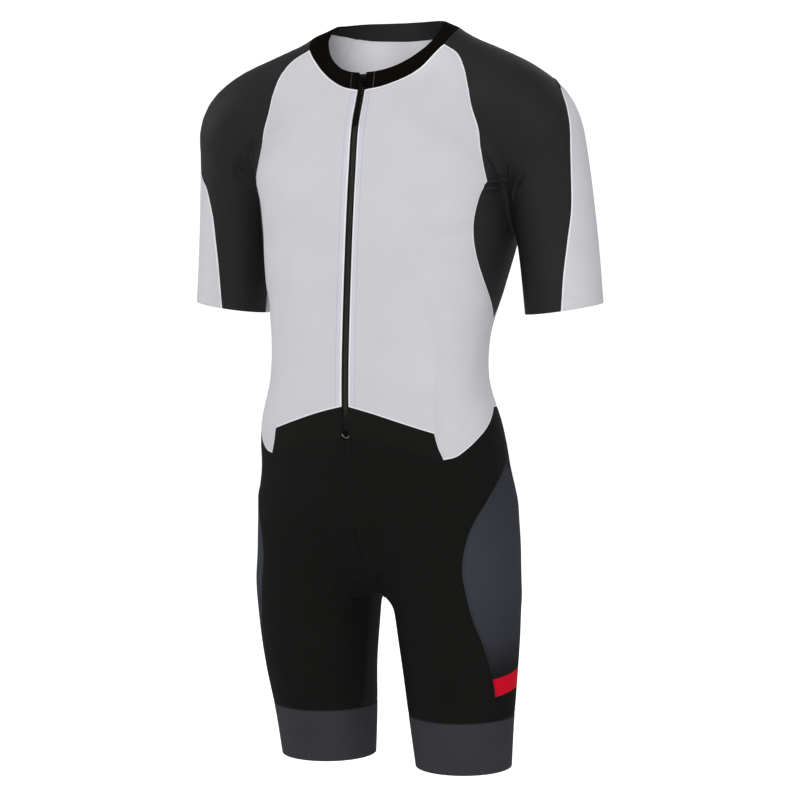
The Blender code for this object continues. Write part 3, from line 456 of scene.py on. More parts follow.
CENTRE_BACK = [
    (0, 0.088, -0.432), (0, 0.097, -0.470), (0, 0.115, -0.520), (0, 0.122, -0.570),
    (0, 0.112, -0.615), (0, 0.078, -0.650), (0, 0.036, -0.664), (0, -0.004, -0.665),
]
INSIDE_LEG = [
    (0, -0.004, -0.665), (0.011, -0.002, -0.690), (0.018, 0.002, -0.730), (0.024, 0.005, -0.770),
]
HIP_SIDE = [(0.144, -0.002, -0.434), (0.149, 0.004, -0.465), (0.153, 0.010, -0.500)]
THIGH_FRONT = [
    (0.153, 0.010, -0.500), (0.155, -0.028, -0.532), (0.150, -0.052, -0.556),
    (0.142, -0.063, -0.579), (0.136, -0.066, -0.600), (0.133, -0.066, -0.624),
    (0.134, -0.060, -0.650), (0.138, -0.050, -0.682), (0.144, -0.037, -0.712),
    (0.148, -0.024, -0.745), (0.150, -0.012, -0.778),
]
THIGH_BACK = [
    (0.153, 0.010, -0.500), (0.157, 0.050, -0.535), (0.152, 0.078, -0.565), (0.143, 0.092, -0.600),
    (0.139, 0.095, -0.640), (0.140, 0.088, -0.690), (0.146, 0.075, -0.740), (0.150, 0.062, -0.780),
]
# Degrees from the outer side towards the front, as in CUFF_SEAM_ANGLE.
LEG_SEAM_ANGLES = SimpleNamespace(inside=162.0, thigh_front=30.0, thigh_back=-25.0)
NECK_RIM = [
    (0.0047, -0.0595, NECK_RIM_DROP), (0.0170, -0.0560, -0.0345), (0.0335, -0.0480, -0.0295),
    (0.0471, -0.0385, -0.0217), (0.0590, -0.0265, -0.0109), (0.0662, -0.0160, -0.0016),
    (0.0715, -0.0065, 0.0085), (0.0742, 0.0035, 0.0190), (0.0728, 0.0150, 0.0265),
    (0.0660, 0.0340, 0.0300), (0.0480, 0.0520, 0.0330), (0.0240, 0.0630, 0.0338),
    (0.0, 0.0660, 0.0338),
]

print("seam guides end at the leg band,", LEG_BAND_TOP)

# %% [markdown]
# ### The form as one field
# Where a sleeve meets the body, cloth bridges the corner in a soft curve. Joining two meshes would
# leave a hard line there. Instead, each part is a field, a function that is below zero inside and
# above zero outside, and two fields are blended over a set width. A point is then moved onto the
# surface by following the field's slope.

# %% The form as one field
def blend(a, b, width):
    """The union of two fields with a soft inner corner."""
    share = np.clip(0.5 + 0.5 * (b - a) / width, 0, 1)
    return b * (1 - share) + a * share - width * share * (1 - share)


def ease(t):
    t = np.clip(t, 0, 1)
    return t * t * (3 - 2 * t)


def section_field(x, y, half_width, half_depth, squareness):
    reach = np.abs(x / half_width) ** squareness + np.abs(y / half_depth) ** squareness
    return (reach ** (1 / squareness) - 1) * np.minimum(half_width, half_depth)


def trunk_field(p):
    row = TRUNK.at(p[..., 2])
    middle = (row.front + row.back) / 2
    depth = (row.back - row.front) / 2
    squareness = np.where(p[..., 1] < middle, row.front_square, row.back_square)
    return section_field(p[..., 0], p[..., 1] - middle, row.half_width, depth, squareness)


def leg_field(p):
    row = LEG.at(p[..., 2])
    x, y = p[..., 0] - row.middle_x, p[..., 1] - row.middle_y
    return section_field(x, y, row.half_width, row.half_depth, row.squareness)


def line_of(table, pieces=4):
    """A table's middle line as a dense run of points, with its radius if it has one."""
    last = table.key[-1]
    row = table.at(np.linspace(0, last, int(last) * pieces + 1))
    columns = [row.x, row.y, row.z] + ([row.radius] if hasattr(row, "radius") else [])
    return np.stack(columns, axis=-1)


def sleeve_field(p):
    flat = np.array([1, SLEEVE_FLATNESS, 1])
    p = p * flat
    line = line_of(SLEEVE)
    nearest = np.full(p.shape[:-1], np.inf)
    for start, end in zip(line[:-1], line[1:]):
        a, b = start[:3] * flat, end[:3] * flat
        along = np.clip(((p - a) @ (b - a)) / ((b - a) @ (b - a)), 0, 1)
        away = np.linalg.norm(p - a - along[..., None] * (b - a), axis=-1)
        nearest = np.minimum(nearest, away - start[3] - along * (end[3] - start[3]))
    return nearest


def field(p):
    """Below zero inside the form and above zero outside it."""
    p = np.concatenate([np.abs(p[..., :1]), p[..., 1:]], axis=-1)
    z = p[..., 2]
    trunk = -blend(-trunk_field(p), z - CROTCH_HEIGHT, SEAT_BLEND)
    above_arm = ease((z - ARMPIT_HEIGHT) / ARMPIT_EASE)
    arm_blend = UNDERARM_BLEND + (SHOULDER_BLEND - UNDERARM_BLEND) * above_arm
    body = blend(trunk, sleeve_field(p), arm_blend)
    legs = blend(leg_field(p), leg_field(p * np.array([-1, 1, 1])), BETWEEN_LEGS_BLEND)
    legs = np.where(z < HIP_HEIGHT, legs, 1.0)
    lower = ease((HIP_HEIGHT - z) / HIP_EASE)
    return body * (1 - lower) + blend(body, legs, CROTCH_BLEND) * lower


def slope(p, reach=0.0002):
    steps = np.eye(3) * reach
    return np.stack([field(p + s) - field(p - s) for s in steps], axis=-1) / (2 * reach)


def outward(p, reach=0.0002):
    """The form's outward direction. A longer reach evens it out over a sharp inner corner."""
    gradient = slope(p, reach)
    return gradient / np.linalg.norm(gradient, axis=-1, keepdims=True)


def settle(p, rounds=12, longest=0.010):
    """Moves points straight onto the form, each round by no more than the longest step."""
    for _ in range(rounds):
        gradient = slope(p)
        size = np.linalg.norm(gradient, axis=-1, keepdims=True)
        move = np.clip(field(p)[..., None] / size, -longest, longest)
        p = p - move * gradient / size
    return p

print("front face at the chest:", round(float(TRUNK.at(np.array(-0.19)).front), 4))

# %% [markdown]
# ### Seams as even lines of points
# Two pieces that are sewn together have to share every point of their seam, or light shows through
# it. So each seam becomes one smooth line with a set number of even steps, and both pieces use it.

# %% Seams settled on the form
def smooth_through(places, pieces=24):
    """A dense smooth line through the given places."""
    places = np.array(places, float)
    lengths = np.linalg.norm(np.diff(places, axis=0), axis=1)
    key = np.concatenate([[0], np.cumsum(lengths)])
    table = Table("along x y z", [tuple([k, *place]) for k, place in zip(key, places)])
    row = table.at(np.linspace(0, key[-1], (len(places) - 1) * pieces + 1))
    return np.stack([row.x, row.y, row.z], axis=-1)


def even_steps(line, steps):
    lengths = np.linalg.norm(np.diff(line, axis=0), axis=1)
    along = np.concatenate([[0], np.cumsum(lengths)])
    wanted = np.linspace(0, along[-1], steps + 1)
    return np.stack([np.interp(wanted, along, line[:, i]) for i in range(3)], axis=-1)


def seam(places, steps):
    return settle(even_steps(settle(smooth_through(places), rounds=6), steps))


def ring(middle, half_width, half_depth, start, end, steps, tilt=0.0, dip=0.0):
    """Part of an oval at a hem. Degrees run from the outer side to the front."""
    angle = np.radians(np.linspace(start, end, steps + 1))
    places = np.stack(
        [
            middle[0] + half_width * np.cos(angle),
            middle[1] - half_depth * np.sin(angle),
            middle[2] + tilt * np.cos(angle) - dip * np.sin(angle),
        ],
        axis=-1,
    )
    return settle(places)


def joined(*lines):
    """Seams that follow each other, as one line."""
    return np.concatenate([lines[0]] + [line[1:] for line in lines[1:]])


def hold_x(p, rounds=8):
    """Settles points by moving them along Y alone."""
    p = p.copy()
    for _ in range(rounds):
        p[..., 1] -= field(p) / slope(p)[..., 1]
    return p


def zip_edge(top, bottom, x, steps):
    """The straight edge beside the zip, at a fixed distance from its middle."""
    heights = np.linspace(top, bottom, steps + 1)
    return hold_x(np.stack([np.full_like(heights, x), TRUNK.at(heights).front, heights], axis=-1))


def leg_ring(height, start, end, steps):
    row = LEG.at(np.array(height))
    middle = (row.middle_x, row.middle_y, height)
    return ring(middle, row.half_width, row.half_depth, start, end, steps)


def cuff_ring(arm, start, end, steps):
    cuff, lie = SLEEVE_CUFF, CUFF_LIE[arm]
    middle = (cuff.x, cuff.y, lie.z)
    return ring(middle, cuff.half_width, cuff.half_depth, start, end, steps, lie.tilt, lie.dip)


print("a leg hem's front half:", leg_ring(LEG_BAND_TOP, 0, 180, 4).round(3).tolist())

# %% [markdown]
# ### A piece between its four seams
# A cut piece hangs between its seams like a sheet in a frame. Its rows run round a line inside the
# body from the left seam to the right one, are pulled to the top and bottom seams, and are settled
# on the form. A Shrinkwrap modifier could do the last part, but it bunches points in the corners.
# So the points of a sleeve or leg are spread out again at the end.

# %% A grid of points between four seams
def nearest_station(line, p):
    """How far along a dense line each point lies, as a share of its length in steps."""
    starts, ends = line[:-1, :3], line[1:, :3]
    span = ends - starts
    along = np.einsum("psk,sk->ps", p[:, None] - starts, span) / (span**2).sum(-1)
    along = np.clip(along, 0, 1)
    away = np.linalg.norm(p[:, None] - starts - along[..., None] * span, axis=-1)
    best = away.argmin(axis=1)
    return best + along[np.arange(len(p)), best]


def along_line(line, station):
    low = np.clip(station.astype(int), 0, len(line) - 2)
    share = (station - low)[:, None]
    span = (line[1:] - line[:-1])[low, :3]
    return line[low, :3] + share * span, span / np.linalg.norm(span, axis=1, keepdims=True)


EVEN_PAUSE = 20  # rounds of spreading before the points are put back on the form


def evened(grid, rounds, least_x):
    """Spreads a grid's inner points over the form, so that no cell folds over the next."""
    for turn in range(rounds):
        inner = (grid[:-2, 1:-1] + grid[2:, 1:-1] + grid[1:-1, :-2] + grid[1:-1, 2:]) / 4
        inner[..., 0] = np.maximum(inner[..., 0], least_x)
        back_on_form = turn % EVEN_PAUSE == EVEN_PAUSE - 1
        grid[1:-1, 1:-1] = settle(inner, rounds=2) if back_on_form else inner
    return grid


def lay(left, right, top, bottom, inner_line, turn, least_x=-1.0, even_rounds=0):
    """A grid of points on the form, rows from the left seam to the right one round an inner line.

    turn is 1 or -1, the way round that line. The top and bottom seams then pull the rows to them.
    least_x keeps a piece that ends at the middle of the body on its own side of it.
    """
    station = (nearest_station(inner_line, left) + nearest_station(inner_line, right)) / 2
    origin, axis = along_line(inner_line, station)
    rise_left = ((left - origin) * axis).sum(-1, keepdims=True)
    rise_right = ((right - origin) * axis).sum(-1, keepdims=True)
    arm_left = left - origin - rise_left * axis
    arm_right = right - origin - rise_right * axis
    reach_left = np.linalg.norm(arm_left, axis=1, keepdims=True)
    first = arm_left / reach_left
    second = np.cross(axis, first) * turn
    angle = np.arctan2((arm_right * second).sum(-1), (arm_right * first).sum(-1))
    angle = np.where(angle < WRAP_BELOW, angle + 2 * math.pi, angle)

    share = np.linspace(0, 1, len(top))[:, None]
    reach_right = np.linalg.norm(arm_right, axis=1, keepdims=True)
    rise = rise_left[:, None] * (1 - share) + rise_right[:, None] * share
    reach = reach_left[:, None] * (1 - share) + reach_right[:, None] * share
    swing = angle[:, None, None] * share
    direction = first[:, None] * np.cos(swing) + second[:, None] * np.sin(swing)
    grid = origin[:, None] + axis[:, None] * rise + direction * reach

    down = np.linspace(0, 1, len(left))[:, None, None]
    grid = grid + (1 - down) * (top - grid[0]) + down * (bottom - grid[-1])
    grid[..., 0] = np.maximum(grid[..., 0], least_x)
    grid = settle(grid)
    grid[:, 0], grid[:, -1], grid[0], grid[-1] = left, right, top, bottom
    return evened(grid, even_rounds, least_x)


print("the sleeve's inner line:", len(line_of(SLEEVE)), "points")


# %% [markdown]
# ## Creases
# The cloth is stretched smooth, so it has few creases: short rolls where the arm meets the side,
# fans that run out from there over the sleeve and the chest, folds at the crotch, and slight drags
# at the belt. They could be left to a simulation, but a tight suit hardly moves in one. So each
# crease is placed as a line on the form, with its own width and height, and it lifts or
# sinks the cloth smoothly on both sides of any seam it crosses.

# %% The table of creases
# Each row is half a crease's width, its height, and the places that it runs through.
CREASES = [
    # Wearer's left underarm: two rolls under the sleeve's seam.
    (0.0021, 0.0030,
     (0.149, -0.045, -0.1675), (0.157, -0.034, -0.1660),
     (0.163, -0.026, -0.1655), (0.170, -0.019, -0.167)),
    (0.0012, -0.0010, (0.151, -0.041, -0.1710), (0.160, -0.028, -0.1692), (0.168, -0.018, -0.1705)),
    (0.0021, 0.0027,
     (0.148, -0.045, -0.1755), (0.156, -0.032, -0.1738),
     (0.162, -0.023, -0.1733), (0.168, -0.014, -0.175)),
    (0.0017, -0.0014, (0.150, -0.040, -0.1800), (0.158, -0.026, -0.1785), (0.165, -0.014, -0.179)),
    # The fan above them, on the front of the sleeve.
    (0.0014, 0.0019, (0.161, -0.028, -0.163), (0.1555, -0.0395, -0.1485), (0.148, -0.0445, -0.131)),
    (0.0014, 0.0018, (0.164, -0.026, -0.162), (0.1595, -0.0363, -0.1485), (0.152, -0.0425, -0.133)),
    (0.0014, 0.0014,
     (0.166, -0.0255, -0.160), (0.1625, -0.0342, -0.1490), (0.157, -0.040, -0.1375)),
    (0.0018, -0.0016, (0.169, -0.022, -0.165), (0.173, -0.029, -0.156), (0.176, -0.036, -0.144)),
    (0.0015, 0.0012, (0.1715, -0.0205, -0.166), (0.176, -0.028, -0.157), (0.1795, -0.035, -0.146)),
    (0.0022, 0.0020, (0.172, -0.013, -0.193), (0.182, -0.027, -0.174), (0.193, -0.036, -0.158)),
    (0.0024, -0.0020, (0.175, -0.018, -0.189), (0.186, -0.030, -0.173), (0.198, -0.037, -0.161)),
    (0.0030, 0.0010, (0.158, -0.005, -0.219), (0.163, 0.002, -0.217), (0.167, 0.010, -0.215)),
    # Wearer's right underarm: an open fan of ridges over the sleeve.
    (0.0017, 0.0020, (-0.162, -0.037, -0.142), (-0.1645, -0.040, -0.128), (-0.165, -0.044, -0.112)),
    (0.0016, 0.0015, (-0.160, -0.040, -0.127), (-0.156, -0.042, -0.116), (-0.151, -0.044, -0.106)),
    (0.0018, 0.0021, (-0.177, -0.046, -0.119), (-0.1765, -0.040, -0.134), (-0.171, -0.030, -0.155)),
    (0.0018, -0.0014,
     (-0.1805, -0.044, -0.122), (-0.1795, -0.038, -0.137), (-0.174, -0.029, -0.157)),
    (0.0017, 0.0016, (-0.184, -0.041, -0.138), (-0.180, -0.036, -0.144), (-0.175, -0.032, -0.151)),
    (0.0019, 0.0022, (-0.190, -0.043, -0.133), (-0.1885, -0.039, -0.146), (-0.183, -0.031, -0.160)),
    (0.0016, 0.0020, (-0.154, -0.040, -0.1675), (-0.160, -0.029, -0.166), (-0.167, -0.021, -0.168)),
    (0.0014, -0.0014,
     (-0.153, -0.040, -0.1708), (-0.1595, -0.028, -0.1695), (-0.166, -0.019, -0.1715)),
    (0.0016, 0.0018, (-0.152, -0.040, -0.174), (-0.159, -0.027, -0.173), (-0.165, -0.017, -0.175)),
    # Behind both arms, where the shoulder blades pull the cloth.
    (0.0028, 0.0018, (0.160, 0.070, -0.172), (0.172, 0.074, -0.155), (0.184, 0.070, -0.132)),
    (0.0022, 0.0013, (0.166, 0.060, -0.180), (0.182, 0.066, -0.164), (0.196, 0.062, -0.146)),
    (0.0026, -0.0014, (0.158, 0.078, -0.163), (0.163, 0.082, -0.146), (0.166, 0.082, -0.124)),
    (0.0024, 0.0016, (-0.160, 0.072, -0.170), (-0.171, 0.075, -0.150), (-0.180, 0.071, -0.126)),
    (0.0028, 0.0014, (-0.167, 0.060, -0.183), (-0.184, 0.064, -0.170), (-0.200, 0.058, -0.156)),
    (0.0060, -0.0016, (0.146, 0.086, -0.200), (0.120, 0.108, -0.186), (0.086, 0.125, -0.180)),
    (0.0070, -0.0014, (-0.147, 0.085, -0.204), (-0.124, 0.106, -0.196), (-0.090, 0.122, -0.188)),
    # Soft hollows across the chest and the waist.
    (0.0110, -0.0016,
     (0.140, -0.050, -0.222), (0.123, -0.066, -0.230),
     (0.098, -0.081, -0.232), (0.070, -0.090, -0.227)),
    (0.0140, -0.0014, (0.143, -0.024, -0.308), (0.134, -0.048, -0.304), (0.106, -0.076, -0.288)),
    (0.0110, 0.0010, (0.142, -0.030, -0.352), (0.138, -0.040, -0.380), (0.132, -0.055, -0.412)),
    (0.0120, -0.0012, (-0.140, -0.048, -0.228), (-0.120, -0.068, -0.234), (-0.094, -0.083, -0.232)),
    (0.0130, -0.0012, (-0.142, -0.026, -0.316), (-0.128, -0.055, -0.306), (-0.104, -0.077, -0.292)),
    # The small of the back, where the spare length gathers in shallow folds.
    (0.0080, 0.0018,
     (0.112, 0.058, -0.344), (0.060, 0.080, -0.352),
     (0.000, 0.085, -0.350), (-0.052, 0.081, -0.343)),
    (0.0075, -0.0017,
     (0.126, 0.045, -0.362), (0.070, 0.074, -0.372),
     (0.010, 0.081, -0.371), (-0.066, 0.075, -0.364)),
    (0.0070, 0.0014,
     (0.090, 0.066, -0.388), (0.020, 0.081, -0.392),
     (-0.070, 0.073, -0.386), (-0.116, 0.052, -0.380)),
    # Crotch: short folds that run up from the inside leg, and one down the right thigh.
    (0.0022, -0.0016, (-0.006, -0.030, -0.660), (-0.013, -0.050, -0.650), (-0.028, -0.066, -0.634)),
    (0.0020, 0.0014, (-0.012, -0.022, -0.668), (-0.020, -0.045, -0.659), (-0.034, -0.062, -0.645)),
    (0.0018, -0.0012, (-0.016, -0.012, -0.676), (-0.024, -0.033, -0.671), (-0.037, -0.052, -0.664)),
    (0.0022, -0.0015, (0.006, -0.030, -0.660), (0.014, -0.050, -0.649), (0.032, -0.067, -0.630)),
    (0.0019, 0.0012, (0.013, -0.020, -0.669), (0.021, -0.042, -0.661), (0.036, -0.060, -0.648)),
    (0.0030, -0.0010, (-0.036, -0.066, -0.634), (-0.036, -0.058, -0.657), (-0.038, -0.048, -0.678)),
    (0.0035, 0.0012, (0.011, -0.098, -0.556), (0.012, -0.090, -0.582), (0.010, -0.078, -0.606)),
    (0.0024, -0.0012,
     (0.004, -0.096, -0.560), (0.005, -0.087, -0.588),
     (0.004, -0.073, -0.617), (0.006, -0.055, -0.641)),
    # Under the seat, one fold for each leg and a shorter one below it.
    (0.0050, -0.0022, (0.030, 0.075, -0.668), (0.066, 0.094, -0.672), (0.106, 0.090, -0.664)),
    (0.0040, 0.0014, (0.036, 0.068, -0.684), (0.070, 0.088, -0.688), (0.100, 0.086, -0.682)),
    (0.0046, -0.0020, (-0.028, 0.074, -0.670), (-0.062, 0.093, -0.675), (-0.100, 0.091, -0.670)),
    (0.0036, 0.0012, (-0.040, 0.070, -0.686), (-0.076, 0.089, -0.690), (-0.108, 0.082, -0.683)),
    # The belt: a nick under the hip point, and drags beside the end of the zip.
    (0.0016, -0.0010,
     (0.111, -0.079, -0.4945), (0.1145, -0.076, -0.501), (0.1175, -0.075, -0.4955)),
    (0.0016, -0.0008,
     (-0.110, -0.080, -0.4945), (-0.1125, -0.078, -0.500), (-0.1155, -0.076, -0.4955)),
    (0.0016, -0.0006,
     (-0.012, -0.106, -0.471), (0.006, -0.106, -0.4755), (0.027, -0.1055, -0.4705)),
]
print("creases:", len(CREASES))

# %% How high the creases stand
CREASE_DEPTH = 1.5  # how much deeper they are laid than the table says
CREASE_REACH = 4  # half widths from its line at which a crease has died away
TAPER_START, TAPER_POWER = 0.02, 0.7  # how a crease rises from its ends
FLANK = 0.5  # how deep the cloth dips beside a ridge


def crease_line(places):
    return smooth_through(places, pieces=8)


def relief(p):
    """How far the creases lift the cloth at each point, in metres."""
    flat = p.reshape(-1, 3)
    height = np.zeros(len(flat))
    for half_width, lift, *places in CREASES:
        line = crease_line(places)
        reach = CREASE_REACH * half_width
        low, high = line.min(axis=0) - reach, line.max(axis=0) + reach
        near = np.flatnonzero(((flat > low) & (flat < high)).all(axis=1))
        if not len(near):
            continue
        starts, spans = line[:-1], np.diff(line, axis=0)
        offset = flat[near][:, None] - starts
        along = np.clip((offset * spans).sum(-1) / (spans**2).sum(-1), 0, 1)
        away = np.linalg.norm(offset - along[..., None] * spans, axis=-1)
        best = away.argmin(axis=1)
        pick = np.arange(len(near))
        share = np.clip((best + along[pick, best]) / len(spans), TAPER_START, 1 - TAPER_START)
        taper = np.sin(math.pi * share) ** TAPER_POWER
        across = away[pick, best] / half_width
        section = (1 - FLANK * across**2) * np.exp(-(across**2) / 2)
        height[near] += CREASE_DEPTH * lift * taper * section
    return height.reshape(p.shape[:-1])


at_roll = relief(np.array([[0.157, -0.034, -0.166]]))[0]
print("the first roll under the arm stands", round(float(at_roll) * 1000, 2), "mm high")

# %% [markdown]
# ### Finer cloth beside narrow creases
# A roll 4 mm wide can't show on a grid of 4 mm. Cutting the whole suit finer would cost a million
# triangles, so only the cells beside a narrow crease are subdivided before the cloth is lifted.

# %% Cut finer, then lift
FINE_CREASE = 0.0042  # half width below which the cloth is cut finer
FINE_REACH = 3.2  # half widths to each side that are cut finer
CREASE_CUTS = 2
WALL_REACH = 0.004  # a wall's direction is evened out over this distance


def near_fine_crease(p):
    """Which points lie close to a crease that is too narrow for the plain grid."""
    close = np.zeros(len(p), bool)
    for half_width, _, *places in CREASES:
        if half_width > FINE_CREASE:
            continue
        line = crease_line(places)
        reach = FINE_REACH * half_width
        inside = ((p > line.min(axis=0) - reach) & (p < line.max(axis=0) + reach)).all(axis=1)
        inside = np.flatnonzero(inside)
        if len(inside):
            gap = np.linalg.norm(p[inside][:, None] - line[None], axis=-1).min(axis=1)
            close[inside] |= gap < reach
    return close


def points_of(mesh):
    co = np.empty(len(mesh.vertices) * 3)
    mesh.vertices.foreach_get("co", co)
    return co.reshape(-1, 3)


def crease(piece):
    """Cuts the cloth finer beside its narrow creases, then lifts and sinks it along all of them."""
    mesh = piece.data
    close = near_fine_crease(points_of(mesh))
    if close.any():
        bpy.ops.object.mode_set(mode="EDIT")
        bpy.ops.mesh.select_mode(type="VERT")
        bpy.ops.mesh.select_all(action="DESELECT")
        bpy.ops.object.mode_set(mode="OBJECT")
        mesh.vertices.foreach_set("select", close)
        bpy.ops.object.mode_set(mode="EDIT")
        bpy.ops.mesh.subdivide(number_cuts=CREASE_CUTS)
        bpy.ops.object.mode_set(mode="OBJECT")
    co = points_of(mesh)
    moved = co + outward(co, WALL_REACH) * relief(co)[:, None]
    mesh.vertices.foreach_set("co", moved.ravel())
    mesh.update()


print("creases cut finer:", sum(row[0] <= FINE_CREASE for row in CREASES))

# %% [markdown]
# ## Cutting and laying a piece
# A real panel is cut flat and takes its shape from its seams. Each piece here starts the same way,
# as a flat grid whose map in metres is the cut cloth, and it is then laid between its four seams
# on the form. Four more values are kept on each point, the distance to each of its edges, so that
# the materials can put stitches a fixed way in from a seam. A Solidify modifier gives the cloth its
# thickness inwards and a small Bevel rounds the cut edges.

# %% How finely the seams are cut
DETAIL = 6
STEPS = SimpleNamespace(
    neck_front=11 * DETAIL,
    neck_shoulder=10 * DETAIL,
    neck_behind=12 * DETAIL,
    neck_back=11 * DETAIL,
    raglan=9 * DETAIL,
    underarm=6 * DETAIL,
    side_panel=9 * DETAIL,
    side=6 * DETAIL,
    sleeve_inside=8 * DETAIL,
    waist_top=5 * DETAIL,
    waist_end=2 * DETAIL,
    point_outer=4 * DETAIL,
    waist_back=11 * DETAIL,
    centre=10 * DETAIL,
    inside_leg=8 * DETAIL,
    hip_side=4 * DETAIL,
    thigh=14 * DETAIL,
    thigh_bottom=6 * DETAIL,
    leg_band_rows=5 * DETAIL,
    neck_band_rows=3 * DETAIL,
    zip=30 * DETAIL,
)
CLOTH = 0.0013  # wall of the body, sleeve and leg panels
BAND_CLOTH = 0.0020  # neck band and leg grippers, which are doubled
SEAM_GAP = 0.00012  # left between two pieces that are sewn together
SEAM_DIP = 0.00028  # how deep the stitching pulls a sewn edge in
SEAM_DIP_REACH = 0.0022
EVEN_ROUNDS = 80  # how often the points of a sleeve or leg are spread out
print("detail:", DETAIL, "steps for each step of the frame's seams")

# %% Helpers for lines, grids and modifiers
def mirrored(points):
    return points * np.array([-1, 1, 1])


def arc_lengths(grid, axis):
    """Distance run along the grid from its first row or column, point by point."""
    steps = np.linalg.norm(np.diff(grid, axis=axis), axis=-1)
    start = np.zeros_like(np.take(steps, [0], axis=axis))
    return np.concatenate([start, np.cumsum(steps, axis=axis)], axis=axis)


def only(item):
    """Selects one object and makes it the active one."""
    bpy.ops.object.select_all(action="DESELECT")
    item.select_set(True)
    bpy.context.view_layer.objects.active = item


def finish_with(item, kind, **settings):
    """Adds one modifier with its settings and applies it."""
    only(item)
    bpy.ops.object.modifier_add(type=kind)
    modifier = item.modifiers[-1]
    for key, value in settings.items():
        setattr(modifier, key, value)
    bpy.ops.object.modifier_apply(modifier=modifier.name)


print("body cloth", CLOTH, "m, doubled cloth", BAND_CLOTH, "m")

# %% [markdown]
# ### Room in a seam
# Stitching leaves a hair's breadth between two cut edges and pulls both a little into the body.
# Scaling a piece down would shrink it unevenly, so each edge is moved inwards along the cloth by
# the same distance, with its corners mitred as a picture frame's are.

# %% Draw an edge in
MITRE_LIMIT = 0.15  # least divisor, so a pointed corner isn't drawn in too far


def border_of(rows, columns):
    """The indices round the edge of a grid, in order."""
    edge = [(0, i) for i in range(columns)]
    edge += [(j, columns - 1) for j in range(1, rows)]
    edge += [(rows - 1, i) for i in range(columns - 2, -1, -1)]
    edge += [(j, 0) for j in range(rows - 2, 0, -1)]
    return edge


def draw_in(grid, normals, distance):
    """Moves a grid's edge inwards in the cloth, with mitred corners."""
    grid = grid.copy()
    edge = border_of(*grid.shape[:2])
    points = np.array([grid[index] for index in edge])
    keep = np.linalg.norm(points - np.roll(points, 1, axis=0), axis=1) > 1e-6
    corner_of = np.cumsum(keep) - 1
    keep = np.flatnonzero(keep)
    corner = points[keep]
    normal = np.array([normals[edge[k]] for k in keep])
    before = corner - np.roll(corner, 1, axis=0)
    after = np.roll(corner, -1, axis=0) - corner
    side_before, side_after = np.cross(normal, before), np.cross(normal, after)
    side_before /= np.linalg.norm(side_before, axis=1, keepdims=True)
    side_after /= np.linalg.norm(side_after, axis=1, keepdims=True)
    if ((side_before + side_after) * (corner.mean(axis=0) - corner)).sum() < 0:
        side_before, side_after = -side_before, -side_after
    agreement = 1 + (side_before * side_after).sum(-1, keepdims=True)
    moved = corner + distance * (side_before + side_after) / np.maximum(agreement, MITRE_LIMIT)
    for index, place in zip(edge, corner_of):
        grid[index] = moved[place]
    return grid


print("a 3 by 4 grid has", len(border_of(3, 4)), "points round its edge")

# %% The flat piece and its map
NOT_NEAR = 1.0  # metres; farther than any point lies from its edge


def edge_distances(grid):
    """Each point's distance to the piece's four edges, along the cloth."""
    across, down = arc_lengths(grid, 1), arc_lengths(grid, 0)
    return {
        "left": across,
        "right": across[:, -1:] - across,
        "top": down,
        "bottom": down[-1:] - down,
    }


def laid_grid(name, placed, edges):
    """A flat grid, moved point by point onto the laid places, with its map and edge distances."""
    rows, columns = placed.shape[:2]
    bpy.ops.mesh.primitive_grid_add(
        x_subdivisions=columns - 1, y_subdivisions=rows - 1, size=1, calc_uvs=True
    )
    piece = bpy.context.object
    mesh = piece.data
    piece.name = mesh.name = name
    flat = points_of(mesh)
    column = np.rint((flat[:, 0] + 0.5) * (columns - 1)).astype(int)
    row = rows - 1 - np.rint((flat[:, 1] + 0.5) * (rows - 1)).astype(int)
    mesh.vertices.foreach_set("co", placed[row, column].ravel())

    across, down = edges["left"], edges["top"]
    flat_u = across + (across[:, -1].mean() - across[:, -1:]) * 0.5
    flat_v = -down.mean(axis=1, keepdims=True) * np.ones((1, columns))
    loops = np.empty(len(mesh.loops), int)
    mesh.loops.foreach_get("vertex_index", loops)
    cut_map = np.stack([flat_u[row, column], flat_v[row, column]], axis=-1)[loops]
    mesh.uv_layers[0].name = "cut"
    mesh.uv_layers[0].uv.foreach_set("vector", cut_map.ravel())
    for side, distance in edges.items():
        attribute = mesh.attributes.new(f"from_{side}", "FLOAT", "POINT")
        attribute.data.foreach_set("value", distance[row, column])
    mesh.update()
    return piece


def face_outwards(piece, middle):
    """Turns the piece's faces to the outside, judged by its middle one, and merges its points."""
    only(piece)
    face = piece.data.polygons[middle]
    inside_out = Vector(outward(np.array([face.center]))[0]).dot(face.normal) < 0
    bpy.ops.object.mode_set(mode="EDIT")
    bpy.ops.mesh.select_all(action="SELECT")
    if inside_out:
        bpy.ops.mesh.flip_normals()
    bpy.ops.mesh.remove_doubles(threshold=0.00002)
    bpy.ops.object.mode_set(mode="OBJECT")


print("each piece keeps", len(edge_distances(np.zeros((2, 2, 3)))), "distances on its points")

# %% Cut one piece of cloth
ALL_SIDES = ("left", "right", "top", "bottom")
MADE = {}


